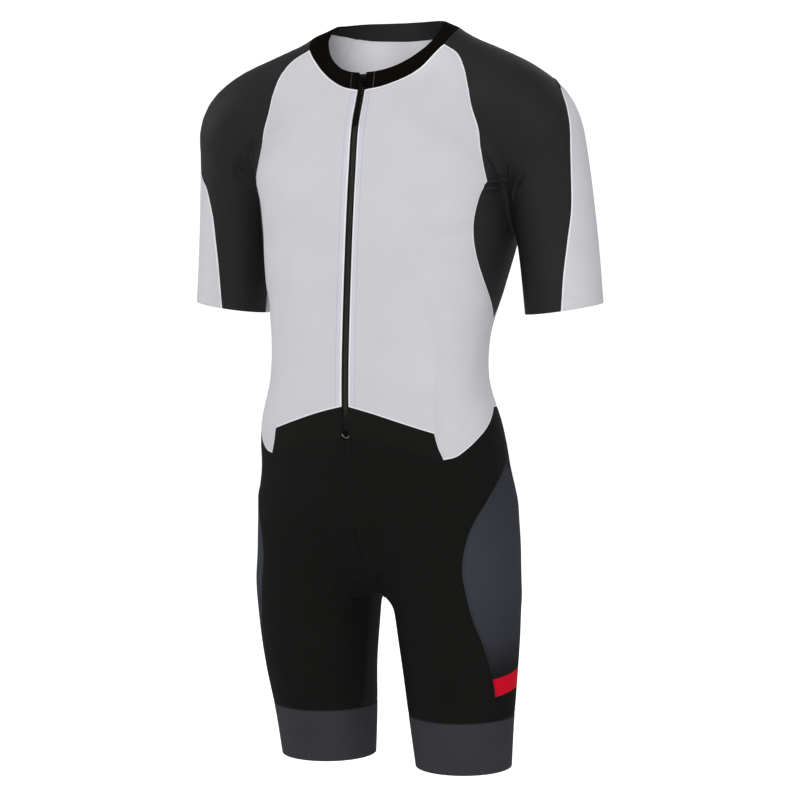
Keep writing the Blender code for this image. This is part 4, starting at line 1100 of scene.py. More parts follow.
def cut_cloth(name, grid, thickness, sewn=ALL_SIDES, normals=None, folds=True):
    """Makes one piece of cloth from a grid of laid points and returns its object."""
    rows, columns = grid.shape[:2]
    if normals is None:
        normals = outward(grid, WALL_REACH)
    edges = edge_distances(grid)
    nearest = np.full(grid.shape[:2], NOT_NEAR)
    for side in sewn:
        nearest = np.minimum(nearest, edges[side])
    placed = grid - normals * (SEAM_DIP * np.exp(-((nearest / SEAM_DIP_REACH) ** 2)))[..., None]
    piece = laid_grid(name, draw_in(placed, normals, SEAM_GAP / 2), edges)
    face_outwards(piece, (rows - 1) * (columns - 1) // 2 + (columns - 1) // 2)
    if folds:
        crease(piece)
    for _ in ("outside", "inside"):
        piece.data.materials.append(None)
    finish_with(
        piece, "SOLIDIFY", thickness=thickness, offset=-1.0, use_rim=True, material_offset=1
    )
    finish_with(
        piece, "BEVEL", width=0.0003, segments=2, limit_method="ANGLE", angle_limit=math.radians(60)
    )
    bpy.ops.object.shade_smooth()
    piece.select_set(False)
    across, down = edges["left"], edges["top"]
    cells = np.diff(across, axis=1)[:-1] * np.diff(down, axis=0)[:, :-1]
    MADE[name] = SimpleNamespace(
        object=piece,
        width=float(across[:, -1].max()),
        length=float(down[-1].max()),
        area=float(cells.sum()),
    )
    return piece


print("cloth is cut with a bevel at its edges")

# %% [markdown]
# ## The seams of the suit
# Two pieces that are sewn together share one line of points. All the lines of the wearer's left
# side are settled on the form first, and the right side is their mirror image, apart from the
# seam down each sleeve, which turns with its arm.

# %% All the seams that pieces share
s = SimpleNamespace()
s.neck_front = seam(NECK_FRONT, STEPS.neck_front)
s.neck_shoulder = seam(NECK_SHOULDER, STEPS.neck_shoulder)
s.neck_behind = seam(NECK_BEHIND, STEPS.neck_behind)
s.neck_back = seam(NECK_BACK, STEPS.neck_back)
s.raglan_front = seam(RAGLAN_FRONT, STEPS.raglan)
s.raglan_back = seam(RAGLAN_BACK, STEPS.raglan)
s.underarm_front = seam(UNDERARM_FRONT, STEPS.underarm)
s.underarm_back = seam(UNDERARM_BACK, STEPS.underarm)
s.side_front = seam(SIDE_PANEL_FRONT, STEPS.side_panel)
s.side_back = seam(SIDE_PANEL_BACK, STEPS.side_panel)
s.side = seam(SIDE, STEPS.side)
s.waist_top = seam(WAIST_TOP, STEPS.waist_top)
s.waist_end = seam(WAIST_END, STEPS.waist_end)
s.waist_bottom = seam(WAIST_BOTTOM, STEPS.waist_top)
s.point_outer = seam(POINT_OUTER, STEPS.point_outer)
s.waist_back = seam(WAIST_BACK, STEPS.waist_back)
s.centre_front = seam(CENTRE_FRONT, STEPS.centre)
s.centre_back = seam(CENTRE_BACK, STEPS.centre)
s.hip_side = seam(HIP_SIDE, STEPS.hip_side)
angles = LEG_SEAM_ANGLES
front_steps = STEPS.waist_top + STEPS.point_outer
s.leg_front = leg_ring(LEG_BAND_TOP, angles.inside, angles.thigh_front, front_steps)
s.leg_side = leg_ring(LEG_BAND_TOP, angles.thigh_front, angles.thigh_back, STEPS.thigh_bottom)
s.leg_back = leg_ring(LEG_BAND_TOP, angles.thigh_back, angles.inside - 360, STEPS.waist_back)
s.inside_leg = seam(INSIDE_LEG + [tuple(s.leg_front[0])], STEPS.inside_leg)
s.thigh_front = seam(THIGH_FRONT + [tuple(s.leg_front[-1])], STEPS.thigh)
s.thigh_back = seam(THIGH_BACK + [tuple(s.leg_side[-1])], STEPS.thigh)
zip_steps = STEPS.raglan + STEPS.side_panel + STEPS.side
s.zip_edge = zip_edge(s.neck_front[0][2], s.waist_top[0][2], ZIP_HALF_GAP, zip_steps)
s.neck_front[0], s.waist_top[0] = s.zip_edge[0], s.zip_edge[-1]
print("seams:", len(vars(s)), "lines,", sum(len(line) for line in vars(s).values()), "points")

# %% [markdown]
# ## Front, back and side panels
# The pale front is one tall panel on each side of the zip. It runs from the neck to a point over
# the hip and its outer edge follows three seams in turn: the sleeve's, the side panel's and the
# side seam. The back is one piece from side to side, and the black side panels are lens shaped.

# %% Front, back and sides
trunk_line = line_of(TRUNK_LINE)
side = joined(s.raglan_front, s.side_front, s.side)
bottom = joined(s.waist_top, s.waist_end, s.point_outer)
front_grid = lay(s.zip_edge, side, s.neck_front, bottom, trunk_line, -1)
cut_cloth("front_panel_left", front_grid, CLOTH)
cut_cloth("front_panel_right", mirrored(front_grid), CLOTH)

side = joined(s.raglan_back, s.side_back, s.side)
top = joined(s.neck_back, mirrored(s.neck_back)[::-1])
bottom = joined(s.waist_back, mirrored(s.waist_back)[::-1])
back_grid = lay(side, mirrored(side), top, bottom, trunk_line, -1)
cut_cloth("back_panel", back_grid, CLOTH)

top = joined(s.underarm_front, s.underarm_back)
tip = np.repeat(s.side_front[-1:], len(top), axis=0)
side_grid = lay(s.side_front, s.side_back, top, tip, trunk_line, -1)
cut_cloth("underarm_panel_left", side_grid, CLOTH)
cut_cloth("underarm_panel_right", mirrored(side_grid), CLOTH)
print("a front panel is cut from", round(MADE["front_panel_left"].area, 4), "square metres")

# %% [markdown]
# ### Sleeves
# Each sleeve is raglan cut: its seam runs from the neck to the underarm, with no seam at the top of
# the arm. It has a dark half in front and a pale half behind, and the seam between them turns with
# the arm, so it differs left and right. The two halves share that seam's points.

# %% Sleeves, each in a dark and a pale half
sleeve_line = line_of(SLEEVE)
SEWN_SLEEVE = ("left", "right", "top")
for arm, places in (("left", SLEEVE_SEAM_LEFT), ("right", SLEEVE_SEAM_RIGHT)):
    turn = CUFF_SEAM_ANGLE[arm]
    hem_front = cuff_ring(arm, 180, turn, STEPS.neck_shoulder)
    hem_back = cuff_ring(arm, turn, -180, STEPS.neck_behind)
    inside = seam(SLEEVE_INSIDE[:-1] + [tuple(hem_front[0])], STEPS.sleeve_inside)
    inside_front = joined(s.raglan_front, s.underarm_front, inside)
    inside_back = joined(s.raglan_back, s.underarm_back[::-1], inside)
    outer = seam(places[:-1] + [tuple(hem_front[-1])], len(inside_front) - 1)
    lay_half = partial(lay, inner_line=sleeve_line, turn=-1, even_rounds=EVEN_ROUNDS)
    dark = lay_half(inside_front, outer, s.neck_shoulder, hem_front)
    pale = lay_half(outer, inside_back, s.neck_behind, hem_back)
    if arm == "right":
        dark, pale = mirrored(dark), mirrored(pale)
    cut_cloth(f"sleeve_dark_{arm}", dark, CLOTH, SEWN_SLEEVE)
    cut_cloth(f"sleeve_pale_{arm}", pale, CLOTH, SEWN_SLEEVE)
print("sleeves:", sum(name.startswith("sleeve") for name in MADE), "pieces")

# %% [markdown]
# ### Waist, shorts and thigh panels
# The shorts are a front and a back for each leg, joined between the legs, and a printed panel lets
# the side of the thigh stretch. A narrow belt fills the gap under the pale fronts. Their rows run
# round a line inside each leg, so the cloth's knit follows the leg as it does on the real suit.

# %% Waist, shorts and thigh panels
edge = zip_edge(s.waist_top[0][2], s.waist_bottom[0][2], ZIP_HALF_GAP, STEPS.waist_end)
bottom = s.waist_bottom.copy()
bottom[0] = edge[-1]
waist_grid = lay(edge, s.waist_end, s.waist_top, bottom, trunk_line, -1)
cut_cloth("belt_left", waist_grid, CLOTH)
cut_cloth("belt_right", mirrored(waist_grid), CLOTH)

hip_line = line_of(HIP_LINE)
middle = joined(s.centre_front, s.inside_leg)
outer = joined(s.hip_side, s.thigh_front)
top = joined(s.waist_bottom, s.point_outer)
shorts_front_grid = lay(middle, outer, top, s.leg_front, hip_line, -1, LEAST_X, EVEN_ROUNDS)
cut_cloth("shorts_front_piece_left", shorts_front_grid, CLOTH)
cut_cloth("shorts_front_piece_right", mirrored(shorts_front_grid), CLOTH)

middle = joined(s.centre_back, s.inside_leg)
outer = joined(s.hip_side, s.thigh_back)
shorts_back_grid = lay(outer, middle, s.waist_back, s.leg_back, hip_line, -1, LEAST_X, EVEN_ROUNDS)
cut_cloth("shorts_back_piece_left", shorts_back_grid, CLOTH)
cut_cloth("shorts_back_piece_right", mirrored(shorts_back_grid), CLOTH)

tip = np.repeat(s.thigh_front[:1], STEPS.thigh_bottom + 1, axis=0)
thigh_grid = lay(s.thigh_front, s.thigh_back, tip, s.leg_side, hip_line, -1)
cut_cloth("thigh_panel_left", thigh_grid, CLOTH)
cut_cloth("thigh_panel_right", mirrored(thigh_grid), CLOTH)
print("lower body:", len(MADE), "pieces so far")

# %% [markdown]
# ### Leg bands
# A gripper is a doubled ring of elastic knit. It needs no panel cut between seams: its top row is
# the shorts' own hem, and each lower row is that row moved down and settled on the leg.

# %% Leg bands
top = joined(s.leg_front, s.leg_side, s.leg_back)
share = np.linspace(0, 1, STEPS.leg_band_rows + 1)[:, None, None]
bottom = top + np.array([0, 0, LEG_HEM - LEG_BAND_TOP])
level = top * (1 - share) + bottom * share
band = settle(level)
band[..., 2] = level[..., 2]
band = settle(band)
band[0] = top
cut_cloth("leg_gripper_left", band, BAND_CLOTH, ("left", "right", "top"))
cut_cloth("leg_gripper_right", mirrored(band), BAND_CLOTH, ("left", "right", "top"))
print("leg band height:", round(float(band[0, 0, 2] - band[-1, 0, 2]), 4))

# %% [markdown]
# ### Neck band
# The collar is a narrow doubled strip that stands up from the neck seam and leans in. It leaves
# the form, so it is laid between the seam and a rim line that is drawn like a seam.

# %% Neck band
RIM_STEPS = 200

half = joined(s.neck_front, s.neck_shoulder, s.neck_behind, s.neck_back)
lengths = np.linalg.norm(np.diff(half, axis=0), axis=1)
share = np.concatenate([[0], np.cumsum(lengths)]) / lengths.sum()
rim_line = even_steps(smooth_through(NECK_RIM), RIM_STEPS)
step = share * RIM_STEPS
rim = np.stack([np.interp(step, np.arange(RIM_STEPS + 1), axis) for axis in rim_line.T], axis=-1)
low = joined(half, mirrored(half)[::-1])
high = joined(rim, mirrored(rim)[::-1])
rows = np.linspace(0, 1, STEPS.neck_band_rows + 1)[:, None, None]
neck_grid = high * (1 - rows) + low * rows
along = np.gradient(neck_grid, axis=1)
neck_normals = np.cross(np.broadcast_to(high - low, neck_grid.shape), along)
neck_normals /= np.linalg.norm(neck_normals, axis=-1, keepdims=True)
neck_normals *= np.sign((neck_normals[0, 0] * np.array([0, -1, 0.2])).sum())
sewn = ("left", "right", "bottom")
cut_cloth("neck_binding", neck_grid, BAND_CLOTH, sewn, neck_normals, folds=False)
print("neck band:", round(MADE["neck_binding"].width, 3), "m round the neck")

# %% [markdown]
# ## The zip
# A coil zip is two woven tapes with a plastic coil sewn along the edge of each. The coil could be
# a bent wire, but at this size each turn shows as one small rounded bar, so one bar is modelled
# and an Array modifier repeats it down the tape. Everything is made flat first, with Z up along
# the zip and Y as the depth behind the cloth's face, and is then laid on the curve of the front.

# %% Laying flat work on the front of the suit
TAPE_TOP = -0.037
TAPE_DEPTH = 0.0025  # from the face of the cloth down to the face of the zip tape
TAPE_CLOTH = 0.0008
TAPE_WIDTH = 0.0130
CHAIN_TOP = -0.0534
ZIP_END = -0.460
TAPE_END = -0.468

heights = np.linspace(-0.475, 0.0, 240)
front_face = hold_x(np.stack([0 * heights, TRUNK.at(heights).front, heights], axis=-1))
front_out = outward(front_face)


def lay_on_front(item):
    """Moves each point of a flat piece to the front's own curve; Y is its depth behind the face."""
    co = points_of(item.data)
    face, out = (
        np.stack([np.interp(co[:, 2], heights, axis) for axis in line.T], axis=-1)
        for line in (front_face, front_out)
    )
    placed = face - out * co[:, 1:2]
    placed[:, 0] = co[:, 0]
    item.data.vertices.foreach_set("co", placed.ravel())
    item.data.update()


def apply_place(item):
    only(item)
    bpy.ops.object.transform_apply(location=True, rotation=True, scale=True)


print("the zip's line runs from", heights[0], "to", heights[-1])

# %% Zip tapes
def make_tape(name, inner, outer):
    """A long strip between two distances from the zip's middle, cut from a grid."""
    bpy.ops.mesh.primitive_grid_add(x_subdivisions=6, y_subdivisions=STEPS.zip, size=1)
    tape = bpy.context.object
    tape.name = name
    tape.scale = (abs(outer - inner), TAPE_TOP - TAPE_END, 1)
    tape.rotation_euler = (math.pi / 2, 0, 0)
    tape.location = ((inner + outer) / 2, TAPE_DEPTH, (TAPE_TOP + TAPE_END) / 2)
    apply_place(tape)
    finish_with(tape, "SOLIDIFY", thickness=TAPE_CLOTH, offset=-1.0)
    lay_on_front(tape)
    bpy.ops.object.shade_smooth_by_angle(angle=math.radians(40))
    return tape


tape_left = make_tape("tape_left", 0.0001, TAPE_WIDTH)
tape_right = make_tape("tape_right", -TAPE_WIDTH, -0.0001)
print("tape:", len(tape_left.data.polygons), "faces each")

# %% [markdown]
# ### The coils
# The two coils mesh, so the bars of one lie between those of the other. Modelling each bar by hand
# would leave them uneven, and one bar in an Array modifier can't. The second coil starts half a
# step lower.

# %% The coils, one rounded bar repeated down each tape
COIL_PITCH = 0.00265
COIL_BAR = (0.0012, 0.0012, 0.0008)  # across the zip, deep, along the zip
COIL_ASIDE = 0.00120  # from the zip's middle to the middle of a bar
COIL_TOP = CHAIN_TOP - 0.0006
COIL_DEPTH = TAPE_DEPTH - 0.0003 - COIL_BAR[1] / 2


def make_coil(name, side, first):
    """side is 1 or -1; first is the height of the top bar."""
    bpy.ops.mesh.primitive_cube_add(size=1)
    coil = bpy.context.object
    coil.name = name
    coil.scale = COIL_BAR
    coil.location = (side * COIL_ASIDE, COIL_DEPTH, first)
    apply_place(coil)
    finish_with(coil, "BEVEL", width=0.0003, segments=2)
    count = int((first - ZIP_END) / COIL_PITCH)
    finish_with(
        coil,
        "ARRAY",
        count=count,
        use_relative_offset=False,
        use_constant_offset=True,
        constant_offset_displace=(0, 0, -COIL_PITCH),
    )
    lay_on_front(coil)
    bpy.ops.object.shade_smooth_by_angle(angle=math.radians(50))
    return coil, count


coil_left, turns = make_coil("coil_left", 1, COIL_TOP)
coil_right, _ = make_coil("coil_right", -1, COIL_TOP - COIL_PITCH / 2)
print("coil:", turns, "bars a side")

# %% [markdown]
# ### Slider and pull tab
# Cast metal has no sharp edge. The frame already holds both solids at their true place and size,
# so they are copied rather than modelled again, and a Bevel modifier rounds their edges.

# %% Slider and pull tab, from the frame's own solids
def soften(node, name, width, segments=3, angle=30):
    """A copy of a hard solid of the frame, merged, with every corner rounded by a small bevel."""
    source = frame["nodes"][node]
    made = source.copy()
    made.data = source.data.copy()
    made.name, made.data.name = name, name
    for key in list(made.keys()):
        del made[key]
    made.parent = None
    bpy.context.scene.collection.objects.link(made)
    made.data.materials.clear()
    only(made)
    bpy.ops.object.mode_set(mode="EDIT")
    bpy.ops.mesh.select_all(action="SELECT")
    bpy.ops.mesh.remove_doubles(threshold=0.000005)
    bpy.ops.mesh.customdata_custom_splitnormals_clear()
    bpy.ops.mesh.dissolve_limited(angle_limit=math.radians(1))
    bpy.ops.object.mode_set(mode="OBJECT")
    finish_with(
        made,
        "BEVEL",
        width=width,
        segments=segments,
        limit_method="ANGLE",
        angle_limit=math.radians(angle),
    )
    bpy.ops.object.shade_smooth_by_angle(angle=math.radians(35))
    print(name, len(made.data.polygons), "faces")
    return made


slider = soften("zip_slider", "slider", 0.00022)
pull = soften("zip_pull", "pull_tab", 0.00028)

# %% [markdown]
# ### The end stop
# The zip ends in a black plate, with a bright wire bent round its foot. The plate is a bevelled
# cube, and the wire a curve with a round bevel, which is far quicker than bending a cylinder. The
# wire's faces carry a value that picks their material once both are joined.

# %% The end stop: a plate over the last turns, with a bent wire round its foot
STOP_HALF_WIDTH = 0.0041
STOP_TOP, STOP_FOOT = -0.4600, -0.4668
STOP_THICK = 0.0012
STOP_DEPTH = TAPE_DEPTH - 0.0004 - STOP_THICK / 2
WIRE = [  # across the zip, and height
    (-0.0045, -0.4636), (-0.0036, -0.4661), (-0.0008, -0.4675),
    (0.0026, -0.4679), (0.0046, -0.4674), (0.0038, -0.4652),
]
WIRE_RADIUS = 0.00055
WIRE_DEPTH = STOP_DEPTH - 0.0006

bpy.ops.mesh.primitive_cube_add(size=1)
plate = bpy.context.object
plate.scale = (2 * STOP_HALF_WIDTH, STOP_THICK, STOP_TOP - STOP_FOOT)
plate.location = (0, STOP_DEPTH, (STOP_TOP + STOP_FOOT) / 2)
apply_place(plate)
finish_with(plate, "BEVEL", width=0.0005, segments=3)
lay_on_front(plate)

bpy.ops.curve.primitive_nurbs_path_add()
wire = bpy.context.object
wire.data.splines.clear()
bend = wire.data.splines.new("NURBS")
bend.points.add(len(WIRE) - 1)
for point, (across, up) in zip(bend.points, WIRE):
    point.co = (across, WIRE_DEPTH, up, 1)
bend.use_endpoint_u = True
bend.order_u = 3
wire.data.bevel_depth = WIRE_RADIUS
wire.data.bevel_resolution = 2
wire.data.use_fill_caps = True
only(wire)
bpy.ops.object.convert(target="MESH")
wire = bpy.context.object
lay_on_front(wire)
bent = wire.data.attributes.new("bent", "INT", "FACE")
bent.data.foreach_set("value", [1] * len(wire.data.polygons))
plate.data.materials.append(None)
plate.data.materials.append(None)
only(plate)
wire.select_set(True)
bpy.ops.object.join()
stop = bpy.context.object
stop.name = stop.data.name = "end_stop"
bent = stop.data.attributes["bent"]
for face, flag in zip(stop.data.polygons, [item.value for item in bent.data]):
    face.material_index = flag
stop.data.attributes.remove(bent)
bpy.ops.object.shade_smooth_by_angle(angle=math.radians(40))
used = {face.material_index for face in stop.data.polygons}
print("end stop:", len(stop.data.polygons), "faces, materials used", used)

# %% [markdown]
# ## Fabrics
# Every cloth here is a fine warp knit: columns of small V-shaped loops under a millimetre wide. A
# picture of cloth could be wrapped on, but it would blur close up. The loops are worked out by a
# node group from the cut cloth's own map, which is in metres, so they have one size on every piece
# and follow the way that each piece was cut. They give a bump, and painted shade that darkens the
# colour in the hollows between the loops.

# %% Node helpers
def feed(tree, socket, value):
    """Gives a socket a number, a colour, or a link from an output socket."""
    if isinstance(value, tuple):
        socket.default_value = (*value, 1)
    elif isinstance(value, (int, float)):
        socket.default_value = value
    else:
        tree.links.new(value, socket)


def math_node(tree, operation, *values, clamp=False):
    """A Math node; each value is a number or an output socket."""
    node = tree.nodes.new("ShaderNodeMath")
    node.operation = operation
    node.use_clamp = clamp
    for socket, value in zip(node.inputs, values):
        feed(tree, socket, value)
    return node.outputs[0]


def parts_of(tree, vector):
    """The three numbers of a vector."""
    split = tree.nodes.new("ShaderNodeSeparateXYZ")
    tree.links.new(vector, split.inputs[0])
    return split.outputs


def noise(tree, vector, scale, detail):
    """A noise texture's values, read at a vector."""
    node = tree.nodes.new("ShaderNodeTexNoise")
    node.inputs["Scale"].default_value = scale
    node.inputs["Detail"].default_value = detail
    tree.links.new(vector, node.inputs["Vector"])
    return node.outputs["Fac"]


def bump_from(tree, shader, height, distance):
    """Turns a height into the shader's normal."""
    bump = tree.nodes.new("ShaderNodeBump")
    bump.inputs["Distance"].default_value = distance
    bump.inputs["Strength"].default_value = 1.0
    tree.links.new(height, bump.inputs["Height"])
    tree.links.new(bump.outputs["Normal"], shader.inputs["Normal"])


def mix_colour(tree, share, first, second):
    """Blends two colours; each is a tuple or an output socket."""
    node = tree.nodes.new("ShaderNodeMix")
    node.data_type = "RGBA"
    for socket, value in (("Factor", share), ("A", first), ("B", second)):
        feed(tree, [i for i in node.inputs if i.name == socket and i.enabled][0], value)
    return [o for o in node.outputs if o.enabled][0]


def new_group(name, inputs, outputs):
    """A shader node group with named float sockets; returns it with its ends."""
    group = bpy.data.node_groups.new(name, "ShaderNodeTree")
    for socket, default in inputs:
        made = group.interface.new_socket(socket, in_out="INPUT", socket_type="NodeSocketFloat")
        made.default_value = default
    for socket in outputs:
        group.interface.new_socket(socket, in_out="OUTPUT", socket_type="NodeSocketFloat")
    start = group.nodes.new("NodeGroupInput")
    end = group.nodes.new("NodeGroupOutput")
    return group, start, end


def place_group(tree, group, **values):
    """Puts a group in a material. Keyword names are its sockets."""
    node = tree.nodes.new("ShaderNodeGroup")
    node.node_tree = group
    for key, value in values.items():
        feed(tree, node.inputs[key], value)
    return node


print("node helpers ready in Blender", bpy.app.version_string)

# %% The knit: columns of V-shaped loops
knit, start, end = new_group(
    "warp_knit",
    [("Across", 0.0), ("Along", 0.0), ("Wale", 0.0009), ("Course", 0.0007)],
    ["Height", "Shade"],
)
sums = partial(math_node, knit)
given = start.outputs
wales = sums("DIVIDE", given["Across"], given["Wale"])
courses = sums("DIVIDE", given["Along"], given["Course"])
from_middle = sums("ABSOLUTE", sums("SUBTRACT", sums("FRACT", wales), 0.5))
slant = sums("MULTIPLY", from_middle, 0.9)
phase = sums("MULTIPLY", sums("ADD", courses, slant), 2 * math.pi)
loop = sums("MULTIPLY_ADD", sums("SINE", phase), 0.5, 0.5)
valley = sums("MULTIPLY", from_middle, 2.0)
rib = sums("SUBTRACT", 1.0, sums("POWER", valley, 2.0))
height = sums("MULTIPLY_ADD", loop, 0.5, sums("MULTIPLY", rib, 0.5))
knit.links.new(height, end.inputs["Height"])
# Painted shade: the colour is darkest where the loops are lowest.
knit.links.new(sums("MULTIPLY_ADD", height, 0.6, 0.4), end.inputs["Shade"])
print("knit:", len(knit.nodes), "nodes")

# %% [markdown]
# ### Sewing
# A stitch row runs a fixed way in from a seam: thread that shows as dashes, in a shallow groove
# that it pulls into the cloth. Modelling each stitch would cost more than the suit itself. Here a
# node group makes both from two numbers, the distance to the edge and the way run along it. The
# pale pieces also have a bright line at their cut edges.

# %% A row of stitches a fixed way in from a seam
stitches, start, end = new_group(
    "stitch_row",
    [("Distance", 1.0), ("Run", 0.0), ("Offset", 0.003), ("Pitch", 0.0028), ("Width", 0.0007)],
    ["Thread", "Height"],
)
sums = partial(math_node, stitches)
given = start.outputs
away = sums("ABSOLUTE", sums("SUBTRACT", given["Distance"], given["Offset"]))
away = sums("DIVIDE", away, given["Width"])
body = sums("SUBTRACT", 1.0, sums("MULTIPLY", away, 1.6), clamp=True)
beat = sums("FRACT", sums("DIVIDE", given["Run"], given["Pitch"]))
beat = sums("ABSOLUTE", sums("SUBTRACT", beat, 0.5))
dash = sums("MULTIPLY", sums("SUBTRACT", 0.42, beat), 12.0, clamp=True)
thread = sums("MULTIPLY", body, dash)
groove = sums("SUBTRACT", 1.0, sums("MULTIPLY", away, 0.5), clamp=True)
pulled = sums("SUBTRACT", thread, sums("MULTIPLY", groove, 0.8))
stitches.links.new(sums("POWER", thread, 0.6), end.inputs["Thread"])
stitches.links.new(pulled, end.inputs["Height"])
print("stitch row:", len(stitches.nodes), "nodes")

# %% A soft line along a cut edge
edge_line, start, end = new_group("edge_line", [("Distance", 1.0), ("Reach", 0.0015)], ["Mask"])
sums = partial(math_node, edge_line)
near_edge = sums("DIVIDE", start.outputs["Distance"], start.outputs["Reach"])
near_edge = sums("SUBTRACT", 1.0, near_edge, clamp=True)
edge_line.links.new(sums("POWER", near_edge, 0.5), end.inputs["Mask"])
print("edge line:", len(edge_line.nodes), "nodes")

# %% [markdown]
# ### One recipe for all the cloths
# Each cloth has its own colour, sheen and wear, and each cut has its own sewing. The recipe takes
# both: the colours, and a list of stitch rows, each with the edge it follows and its distance from
# it. The edge distances come from the values kept on the points when the cloth was laid.

# %% The cloth recipe
PALE_EDGE_REACH = 0.0022  # how wide the bright line at a cut edge is
STITCH_HEIGHT = 0.00025
CLOUD_SCALE = 26.0
FIBRE_SCALE = (420.0, 1500.0, 1.0)  # heather yarn, across and along the cut cloth


def read_value(tree, name):
    node = tree.nodes.new("ShaderNodeAttribute")
    node.attribute_name = name
    return node.outputs["Fac"]


def heather_yarn(tree, cut, amount):
    """Speckle of mixed fibres, stretched along the yarn."""
    stretch = tree.nodes.new("ShaderNodeMapping")
    stretch.inputs["Scale"].default_value = FIBRE_SCALE
    tree.links.new(cut, stretch.inputs["Vector"])
    fibres = noise(tree, stretch.outputs["Vector"], 1.0, 2.0)
    return math_node(tree, "MULTIPLY", math_node(tree, "SUBTRACT", fibres, 0.5), amount)


def shaded(tree, colour, amount):
    """A colour made lighter or darker by a number."""
    scale = tree.nodes.new("ShaderNodeVectorMath")
    scale.operation = "SCALE"
    if isinstance(colour, tuple):
        scale.inputs[0].default_value = colour
    else:
        tree.links.new(colour, scale.inputs[0])
    tree.links.new(amount, scale.inputs["Scale"])
    return scale.outputs[0]


def cloth(
    name,
    colour,
    thread,
    rows,
    roughness=0.75,
    specular=0.25,
    knit_depth=0.00010,
    shade=0.12,
    mottle=0.05,
    edge=None,
    edge_sides=(),
    paint=None,
    heather=0.0,
):
    """A knitted cloth. rows: (side, offset, pitch, width). paint adds a print over the colour."""
    made, tree, shader = new_material(name, roughness)
    sums = partial(math_node, tree)
    shader.inputs["Specular IOR Level"].default_value = specular
    cut_map = tree.nodes.new("ShaderNodeUVMap")
    cut_map.uv_map = "cut"
    cut = cut_map.outputs["UV"]
    across, along, _ = parts_of(tree, cut)
    loops = place_group(tree, knit, Across=across, Along=along)
    place = tree.nodes.new("ShaderNodeTexCoord").outputs["Object"]

    surface = paint(tree, place) if paint else colour
    cloudy = sums("MULTIPLY_ADD", noise(tree, place, CLOUD_SCALE, 3.0), mottle * 2, 1 - mottle)
    # The knit's painted shade in the hollows of its loops, times a random mottle of tone.
    shading = sums("MULTIPLY_ADD", loops.outputs["Shade"], shade, 1 - shade * 0.7)
    shading = sums("MULTIPLY", shading, cloudy)
    if heather:
        shading = sums("ADD", shading, heather_yarn(tree, cut, heather))
    surface = shaded(tree, surface, shading)

    for side in edge_sides:
        away = read_value(tree, f"from_{side}")
        line = place_group(tree, edge_line, Distance=away, Reach=PALE_EDGE_REACH)
        surface = mix_colour(tree, line.outputs["Mask"], surface, edge)
    height = sums("MULTIPLY", loops.outputs["Height"], knit_depth)
    for side, offset, pitch, width in rows:
        row = place_group(
            tree,
            stitches,
            Distance=read_value(tree, f"from_{side}"),
            Run=along if side in ("left", "right") else across,
            Offset=offset,
            Pitch=pitch,
            Width=width,
        )
        surface = mix_colour(tree, row.outputs["Thread"], surface, thread)
        height = sums("ADD", height, sums("MULTIPLY", row.outputs["Height"], STITCH_HEIGHT))
    tree.links.new(surface, shader.inputs["Base Color"])
    bump_from(tree, shader, height, 1.0)
    return made


print("heather yarn has", FIBRE_SCALE[1], "fibres to the metre along the cloth")

# %% [markdown]
# ### The pale cloths
# The pale knit has a bright line at its cut edges. Beside the zip it is sewn down over the tape, so
# a faint strip shows there, closed by a short cross row at its top. Its inside is painted far
# brighter than its outside, as painted light on the inside of the back that shows through the neck.

# %% The strip beside the zip
PALE_COLOUR = (0.640, 0.636, 0.672)
PALE_EDGE = (0.99, 0.99, 0.99)
PALE_THREAD = (0.53, 0.53, 0.63)
PLACKET_COLOUR = (0.655, 0.652, 0.715)
PLACKET_ROW = 0.0078  # the stitches beside the zip, from the panel's edge
PLACKET_TOP = -0.0605  # where the short cross row closes the strip


def step_mask(tree, value, edge, softness):
    """0 below the edge and 1 above it, over a soft width."""
    over = math_node(tree, "SUBTRACT", value, edge - softness / 2)
    return math_node(tree, "DIVIDE", over, softness, clamp=True)


def placket(tree, place):
    """A strip beside the zip, sewn down over the tape, with a short cross row at its top."""
    sums = partial(math_node, tree)
    height = parts_of(tree, place)[2]
    away = read_value(tree, "from_left")
    above = step_mask(tree, height, PLACKET_TOP, 0.0004)
    beyond = step_mask(tree, away, PLACKET_ROW, 0.0008)
    inside = sums("SUBTRACT", 1.0, sums("MAXIMUM", above, beyond))
    strip = mix_colour(tree, inside, PALE_COLOUR, PLACKET_COLOUR)
    off_row = sums("ABSOLUTE", sums("SUBTRACT", height, PLACKET_TOP))
    off_side = sums("ABSOLUTE", sums("SUBTRACT", away, PLACKET_ROW))
    cross = sums("MAXIMUM", step_mask(tree, off_row, 0.0006, 0.0006), beyond)
    down = sums("MAXIMUM", step_mask(tree, off_side, 0.0005, 0.0006), above)
    row = sums("SUBTRACT", 1.0, sums("MINIMUM", cross, down))
    return mix_colour(tree, row, strip, PALE_THREAD)


print("the strip beside the zip is", PLACKET_ROW, "m wide")

# %% Pale cloths
ROW_PITCH, ROW_WIDTH = 0.0026, 0.0006


def row(side, offset, pitch=ROW_PITCH, width=ROW_WIDTH):
    return side, offset, pitch, width


PALE_FRONT = cloth(
    "pale_front_knit", PALE_COLOUR, PALE_THREAD, [],
    edge=PALE_EDGE, edge_sides=ALL_SIDES, paint=placket,
)
PALE_BACK = cloth(
    "pale_back_knit", PALE_COLOUR, PALE_THREAD,
    [row("left", 0.0030, width=0.0005), row("right", 0.0030, width=0.0005)],
    edge=PALE_EDGE, edge_sides=("top", "bottom"),
)
PALE_SLEEVE = cloth(
    "pale_sleeve_knit", PALE_COLOUR, (0.62, 0.62, 0.655),
    [row("bottom", 0.0140, width=0.0004)],
    edge=PALE_EDGE, edge_sides=("left", "top"),
)
